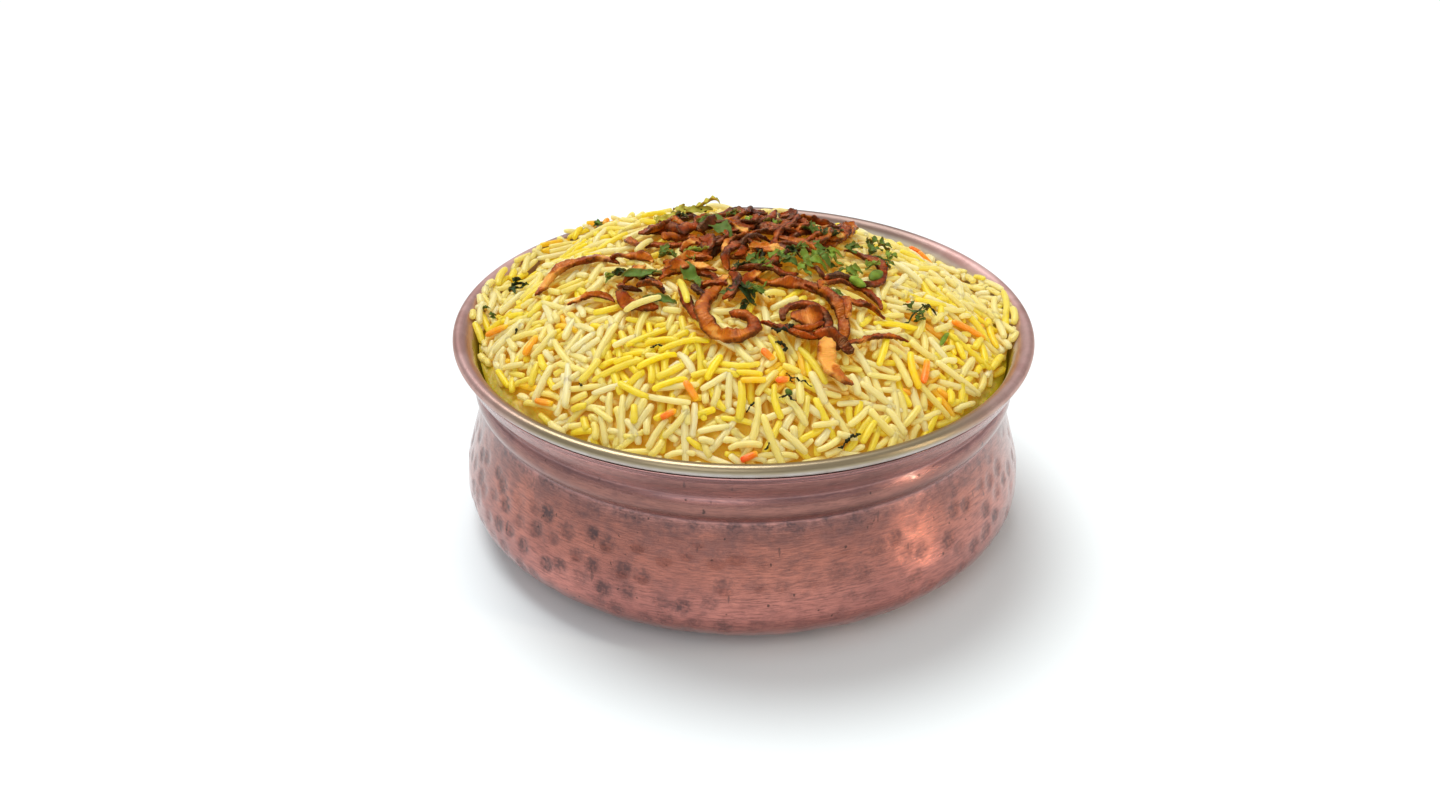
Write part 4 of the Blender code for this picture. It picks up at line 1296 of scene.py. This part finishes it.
def copper_finish():
    """Satin copper, mauve low down and on the flare and warmer under the crease, dark in
    the grooves and hammer marks, brushed round the bowl, with pits and blotches. The
    flare's lighter mauve is partly a painted reflection of the pale floor, and the bead is
    darkened as painted shade where it catches more light."""
    made = Finish("copper", 0.34, 1.0, Coat_Weight=0.5, Coat_Roughness=0.07, Anisotropic=0.9,
                  Anisotropic_Rotation=0.25)
    round_bowl = made.node("ShaderNodeTangent", direction_type="RADIAL", axis="Z")
    made.to_shader(round_bowl.outputs["Tangent"], "Tangent")
    groove, stain, flare, tarnish = map(made.attribute, ("groove", "stain", "flare", "tarnish"))
    height = made.coordinate("Z")
    brushed = made.noise(240, 5.0, 0.75, (1, 1, 9))
    lathe_marks = made.spread(made.noise(160, 3.0, 0.7, (0.1, 0.1, 12)), 0.42, 0.58)
    scratches = made.spread(made.noise(520, 1.0, 0.4, (1, 1, 0.12)), 0.74, 0.77)
    specks = made.spread(made.noise(640, 1.0, 0.4), 0.75, 0.785)
    cloud = made.spread(made.noise(40, 4.0, 0.6), 0.3, 0.7)
    mottle = made.noise(170, 4.0, 0.65)
    grain = made.noise(750, 4.0, 0.7)

    low_tone = made.mix(cloud, (0.41, 0.150, 0.128), (0.57, 0.215, 0.178))
    high_tone = made.mix(cloud, (0.38, 0.132, 0.096), (0.55, 0.192, 0.130))
    neck_tone = made.mix(cloud, (0.36, 0.156, 0.134), (0.55, 0.238, 0.202))
    # Lathe marks on the flare in a mauve lighter than the copper around it, partly a painted reflection
    # of the pale floor
    mauve = made.mix(lathe_marks, (0.24, 0.108, 0.104), (0.68, 0.34, 0.32))
    # Painted shade: the bead, which catches more light, is darkened
    bead = made.between(height, 0.0440, 0.0462, 0.0488, 0.0508)
    below = made.between(height, 0.0310, 0.0385, 0.0405, 0.0425)
    blotch = made.times(stain, made.spread(grain, 0.40, 0.58, 0.25, 1.0))
    fainter_right = made.spread(made.coordinate("X"), -0.02, 0.05, 0.95, 0.70)
    tarnish = made.times(tarnish, made.spread(grain, 0.40, 0.62, 0.2, 1.0))
    tarnish = made.times(tarnish, made.spread(mottle, 0.38, 0.6, 0.3, 1.0))
    worn = made.times(groove, made.spread(brushed, 0.3, 0.62, 0.5, 1.0))
    tone = made.layers(
        low_tone,
        (made.spread(height, 0.010, 0.034), high_tone),
        (made.spread(height, 0.0385, 0.0425), neck_tone),
        (made.times(bead, 0.75), (0.26, 0.108, 0.080)),
        (made.times(below, made.spread(mottle, 0.3, 0.6, 0.15, 0.6)), (0.20, 0.086, 0.076)),
        (made.spread(brushed, 0.40, 0.68, 0.0, 0.7), (0.17, 0.066, 0.060)),
        (made.spread(mottle, 0.50, 0.74, 0.0, 0.5), (0.19, 0.082, 0.076)),
        (flare, mauve),
        (made.times(blotch, fainter_right), (0.095, 0.048, 0.050)),
        (made.times(tarnish, 0.9), (0.075, 0.042, 0.045)),
        (made.times(worn, 0.7), (0.25, 0.160, 0.178)),
        (made.times(scratches, 0.6), (0.09, 0.045, 0.042)),
        (made.times(specks, 0.8), (0.04, 0.020, 0.018)))
    made.to_shader(tone, "Base Color")
    made.to_shader(made.spread(flare, 0, 1, 1.0, 0.5), "Metallic")
    dull = made.spread(made.calculate("MAXIMUM", groove, stain), 0, 1, 0.20, 0.40)
    made.to_shader(made.plus(dull, made.spread(brushed, 0.3, 0.7, -0.05, 0.07)), "Roughness")
    relief = made.plus(brushed, made.times(mottle, 0.8))
    made.bump(made.less(relief, made.times(blotch, 0.5)), 0.00007, 0.7)
    return made.material


# Olive-yellow of the band low in the liner's mouth: a painted reflection of the yellow rice in the
# steel, partly oil
OIL_AND_RICE_REFLECTION = (0.40, 0.295, 0.006)


def steel_finish():
    """Satin steel: champagne on the roll, pink towards the sides and grey-white behind, with
    an olive-yellow band low on the mouth. The pink and the roll's darker tone behind are
    painted reflections, the band is a painted reflection of the yellow rice and partly oil,
    and the roll's underside is painted a darker tan as painted shade."""
    made = Finish("steel", 0.34, 1.0, Specular_Tint=(0.72, 0.60, 0.52, 1))
    right, back, height = map(made.coordinate, "XYZ")
    wetted = made.attribute("wetted")
    brushed = made.noise(260, 3.0, 0.6, (1, 1, 12))
    cloud = made.noise(90, 4.0, 0.65)
    cloudy = made.spread(cloud, 0.35, 0.65)
    roll = made.spread(height, RIM_TOP - 0.0030, RIM_TOP - 0.0012)
    off_roll = made.less(1.0, roll)
    behind = made.spread(back, 0.0, 0.045)

    inner = made.mix(cloudy, (0.58, 0.52, 0.51), (0.74, 0.73, 0.76))
    # Painted reflection: the roll's champagne turns a darker brownish mauve behind
    champagne = made.mix(behind, (0.31, 0.25, 0.155), (0.21, 0.14, 0.125))
    # Painted reflection: pink towards the left and right, kept off the far right wall
    pink = made.mix(cloudy, (0.55, 0.31, 0.30), (0.67, 0.43, 0.42))
    far_wall = made.times(made.spread(right, 0.010, 0.030), off_roll)
    sideways = made.spread(made.calculate("ABSOLUTE", right), 0.050, 0.082)
    sideways = made.times(sideways, made.less(0.9, made.times(far_wall, 0.7)))
    # Painted shade: the outer underside of the roll, which faces down, is pulled towards a darker tan
    under = made.spread(height, RIM_TOP - 0.0019, RIM_TOP - 0.0033)
    under = made.times(made.less(1.0, wetted), under)
    # Painted reflection: the band low on the mouth, stronger at the front, is the yellow rice mirrored
    # in the steel, partly oil
    depth = made.less(RIM_TOP - 2.4 * MM, height)
    depth = made.plus(depth, made.spread(cloud, 0.3, 0.7, -0.0012, 0.0012))
    film_and_reflection = made.times(made.spread(depth, -0.0006, 0.0016), made.spread(back, 0.03, -0.02, 0.3, 1.0))
    film_and_reflection = made.times(film_and_reflection, wetted)
    tone = made.layers(
        inner,
        (roll, champagne),
        (sideways, pink),
        (made.times(under, 0.6), (0.50, 0.42, 0.34)),
        (made.times(film_and_reflection, 0.95), OIL_AND_RICE_REFLECTION),
        (made.spread(brushed, 0.35, 0.75, 0.0, 0.2), (0.30, 0.24, 0.19)))
    made.to_shader(tone, "Base Color")
    made.to_shader(made.spread(film_and_reflection, 0, 1, 0.34, 0.24), "Roughness")
    metallic = made.less(0.85, made.times(off_roll, 0.45))
    metallic = made.less(metallic, made.times(made.times(behind, roll), 0.55))
    made.to_shader(made.less(metallic, made.times(film_and_reflection, 0.55)), "Metallic")
    made.bump(brushed, 0.00008, 0.5)
    return made.material


def rice_finish():
    """Cooked rice: each grain's own tint with faint cloudiness, soft and slightly moist, and a
    painted glow in that tint that lifts its shade.
    """
    made = Finish("cooked_rice", 0.40, Subsurface_Weight=0.9, Subsurface_Scale=0.0036, Coat_Weight=0.05,
                  Coat_Roughness=0.22, Emission_Strength=0.17, Specular_IOR_Level=0.35,
                  Specular_Tint=(1.0, 0.92, 0.7, 1))
    made.shader.inputs["Subsurface Radius"].default_value = (1.0, 0.9, 0.6)
    tint = made.attribute("tint", "Color")
    cloudy = made.spread(made.noise(700, 2.0, 0.5), 0.3, 0.75, 0.0, 0.12)
    made.to_shader(made.mix(cloudy, tint, (0.76, 0.67, 0.38)), "Base Color")
    # Painted light: the grains glow faintly in their own tint, filling the shade between them
    made.to_shader(tint, "Emission Color")
    made.bump(made.noise(1500, 2.0, 0.5), 0.00008, 0.35)
    return made.material


def core_finish():
    """What shows between the grains: a sheet painted as oily golden rice in shade, with a
    painted glow, and by the wall the olive of the rice's painted reflection in the liner, partly oil.
    """
    made = Finish("shaded_rice", 0.45, Subsurface_Weight=0.5, Subsurface_Scale=0.003,
                  Emission_Strength=0.15)
    cloud = made.spread(made.noise(160, 3.0, 0.6), 0.35, 0.65)
    tone = made.mix(cloud, (0.64, 0.34, 0.010), (0.72, 0.46, 0.03))
    # By the wall: the olive of the rice's painted reflection in the liner, partly oil
    tone = made.mix(made.attribute("oily"), tone, OIL_AND_RICE_REFLECTION)
    made.to_shader(tone, "Base Color")
    # Painted light: the core glows faintly in its own colour
    made.to_shader(tone, "Emission Color")
    made.bump(made.noise(900, 3.0, 0.6), 0.0005, 0.6)
    return made.material


def onion_finish():
    """Fried onion: amber flesh that darkens at the rims, by strip and, as painted shade, where
    it lies deep among others, ridged across, oily and thin enough to glow."""
    made = Finish("fried_onion", 0.24, Subsurface_Weight=0.5, Subsurface_Scale=0.0018,
                  Specular_IOR_Level=0.45, Specular_Tint=(1.0, 0.45, 0.10, 1))
    made.shader.inputs["Subsurface Radius"].default_value = (1.0, 0.30, 0.08)
    cloud = made.noise(330, 4.0, 0.65)
    stretched = made.node("ShaderNodeMapping")
    stretched.inputs["Scale"].default_value = (1.0, 0.16, 1.0)
    made.link(made.attribute("along", "Vector"), stretched.inputs["Vector"])
    ridges = made.node("ShaderNodeTexNoise")
    ridges.inputs["Scale"].default_value = 26.0
    made.link(stretched.outputs["Vector"], ridges.inputs["Vector"])
    ridge = ridges.outputs["Fac"]
    patchy = made.spread(made.noise(150, 2.0, 0.5), 0.3, 0.7, -0.3, 0.3)
    # The dark attribute holds each strip's frying together with painted shade in the hollows
    dark = made.plus(made.attribute("dark"), patchy)
    flesh = made.mix(made.spread(cloud, 0.3, 0.7), (0.60, 0.175, 0.010), (0.40, 0.082, 0.005))
    brown = made.mix(made.spread(cloud, 0.35, 0.7), (0.36, 0.050, 0.003), (0.12, 0.013, 0.0015))
    ridged = made.times(made.spread(ridge, 0.46, 0.66, 0.0, 0.32), made.spread(dark, 0.05, 0.35, 0.1))
    crisp = made.spread(made.attribute("rim"), 0.28, 0.85)
    crisp = made.times(crisp, made.spread(cloud, 0.32, 0.6, 0.3, 1.0))
    crisp = made.times(crisp, made.spread(dark, -0.1, 0.3, 0.2, 0.92))
    tone = made.layers(
        (0.80, 0.38, 0.075),
        (made.spread(dark, 0.0, 0.2), flesh),
        (made.spread(dark, 0.1, 0.75), brown),
        (made.spread(dark, 0.75, 1.25), (0.030, 0.007, 0.003)),
        (ridged, (0.15, 0.026, 0.004)),
        (crisp, (0.050, 0.010, 0.004)))
    made.to_shader(tone, "Base Color")
    made.bump(made.plus(ridge, made.times(cloud, 0.6)), 0.0004, 0.8)
    return made.material


def herb_finish():
    """Leaves, stalks and burnt bits in their own tints, veined faintly."""
    made = Finish("herb", 0.5, Subsurface_Weight=0.25, Subsurface_Scale=0.001, Specular_IOR_Level=0.3,
                  Specular_Tint=(0.6, 0.8, 0.25, 1))
    cloud = made.noise(600, 3.0, 0.6)
    # The leaves' own mottling: darker in random patches
    mottled_tint = made.mix(made.spread(cloud, 0.35, 0.7, 0.0, 0.5), made.attribute("tint", "Color"),
                      (0.5, 0.55, 0.3), "MULTIPLY")
    made.to_shader(mottled_tint, "Base Color")
    made.bump(cloud, 0.0003, 0.5)
    return made.material


# ---------------------------------------------------------------- stage

def make_stage():
    """A near-white floor, a white surround, a broad soft light from behind left, a weak
    one from the front and a narrow upright one low at the right, and the camera."""
    floor_size = 8.0
    bpy.ops.mesh.primitive_plane_add(size=floor_size, location=(0, 0, BASE_Z - 0.0002))
    floor = bpy.context.object
    floor.name = "floor"
    ground = Finish("white_floor", 0.6)
    ground.shader.inputs["Base Color"].default_value = (0.845, 0.91, 0.935, 1)
    ground.shader.inputs["Specular IOR Level"].default_value = 0.1
    floor.data.materials.append(ground.material)

    scene = bpy.context.scene
    world = bpy.data.worlds.new("studio")
    scene.world = world
    world.use_nodes = True
    surround = world.node_tree.nodes["Background"].inputs
    surround["Color"].default_value = (1, 1, 1, 1)
    surround["Strength"].default_value = 0.50

    def light(name, kind, place, aim, **settings):
        lamp = bpy.data.lights.new(name, kind)
        for key, value in settings.items():
            setattr(lamp, key, value)
        holder = bpy.data.objects.new(name, lamp)
        holder.location = place
        away = np.array(place) - np.array(aim)
        holder.rotation_euler = Vector(away).to_track_quat("Z", "Y").to_euler()
        scene.collection.objects.link(holder)

    bowl_middle = (0, 0, 0.04)
    light("high_light", "SUN", (-0.24, 0.42, 1.0), (0, 0, 0),
          energy=2.45, angle=math.radians(36), color=(1.0, 0.99, 0.975))
    light("front_light", "AREA", (-0.35, -1.15, 1.0), bowl_middle,
          energy=4.5, shape="RECTANGLE", size=0.9, size_y=0.9)
    light("strip_light", "AREA", (0.72, -0.32, 0.30), bowl_middle,
          energy=1.4, shape="RECTANGLE", size=0.020, size_y=0.60, color=(1.0, 0.84, 0.62))

    camera = bpy.data.objects.new("camera", bpy.data.cameras.new("camera"))
    camera.data.lens = 36.6
    camera.data.sensor_width = 36.0
    roll_z = RIM_TOP - ROLL_RADIUS
    camera.location = (0.0, -0.4115, roll_z + 0.2061)
    camera.rotation_euler = (math.radians(90 - 29.93), 0.0, math.radians(1.0))
    scene.collection.objects.link(camera)
    scene.camera = camera
    scene.view_settings.view_transform = "Standard"


# ---------------------------------------------------------------- making it all

make_stage()
make_copper_bowl(copper_finish())
make_liner(steel_finish())
make_core(core_finish())
rice = rice_finish()
grains = lay_grains(16000, tries=8, enough=0.6 * MM, proud=1.0 * MM, tilt=0.3)
grains += lay_grains(3000, tries=6, enough=0.6 * MM, proud=1.1 * MM, tilt=0.2, inner=73 * MM)
grains += lay_grains(1300, tries=3, enough=-1.0 * MM, proud=2.1 * MM, tilt=0.2)
make_onions(onion_finish())
herb = herb_finish()
make_leaves(herb)
make_threads(herb)
grains += lay_grains(160, tries=1, enough=-9 * MM, proud=2.6 * MM, tilt=0.1, spare_toppings=True)
grains += lay_over()
make_stained(rice)
make_grains(grains, rice)
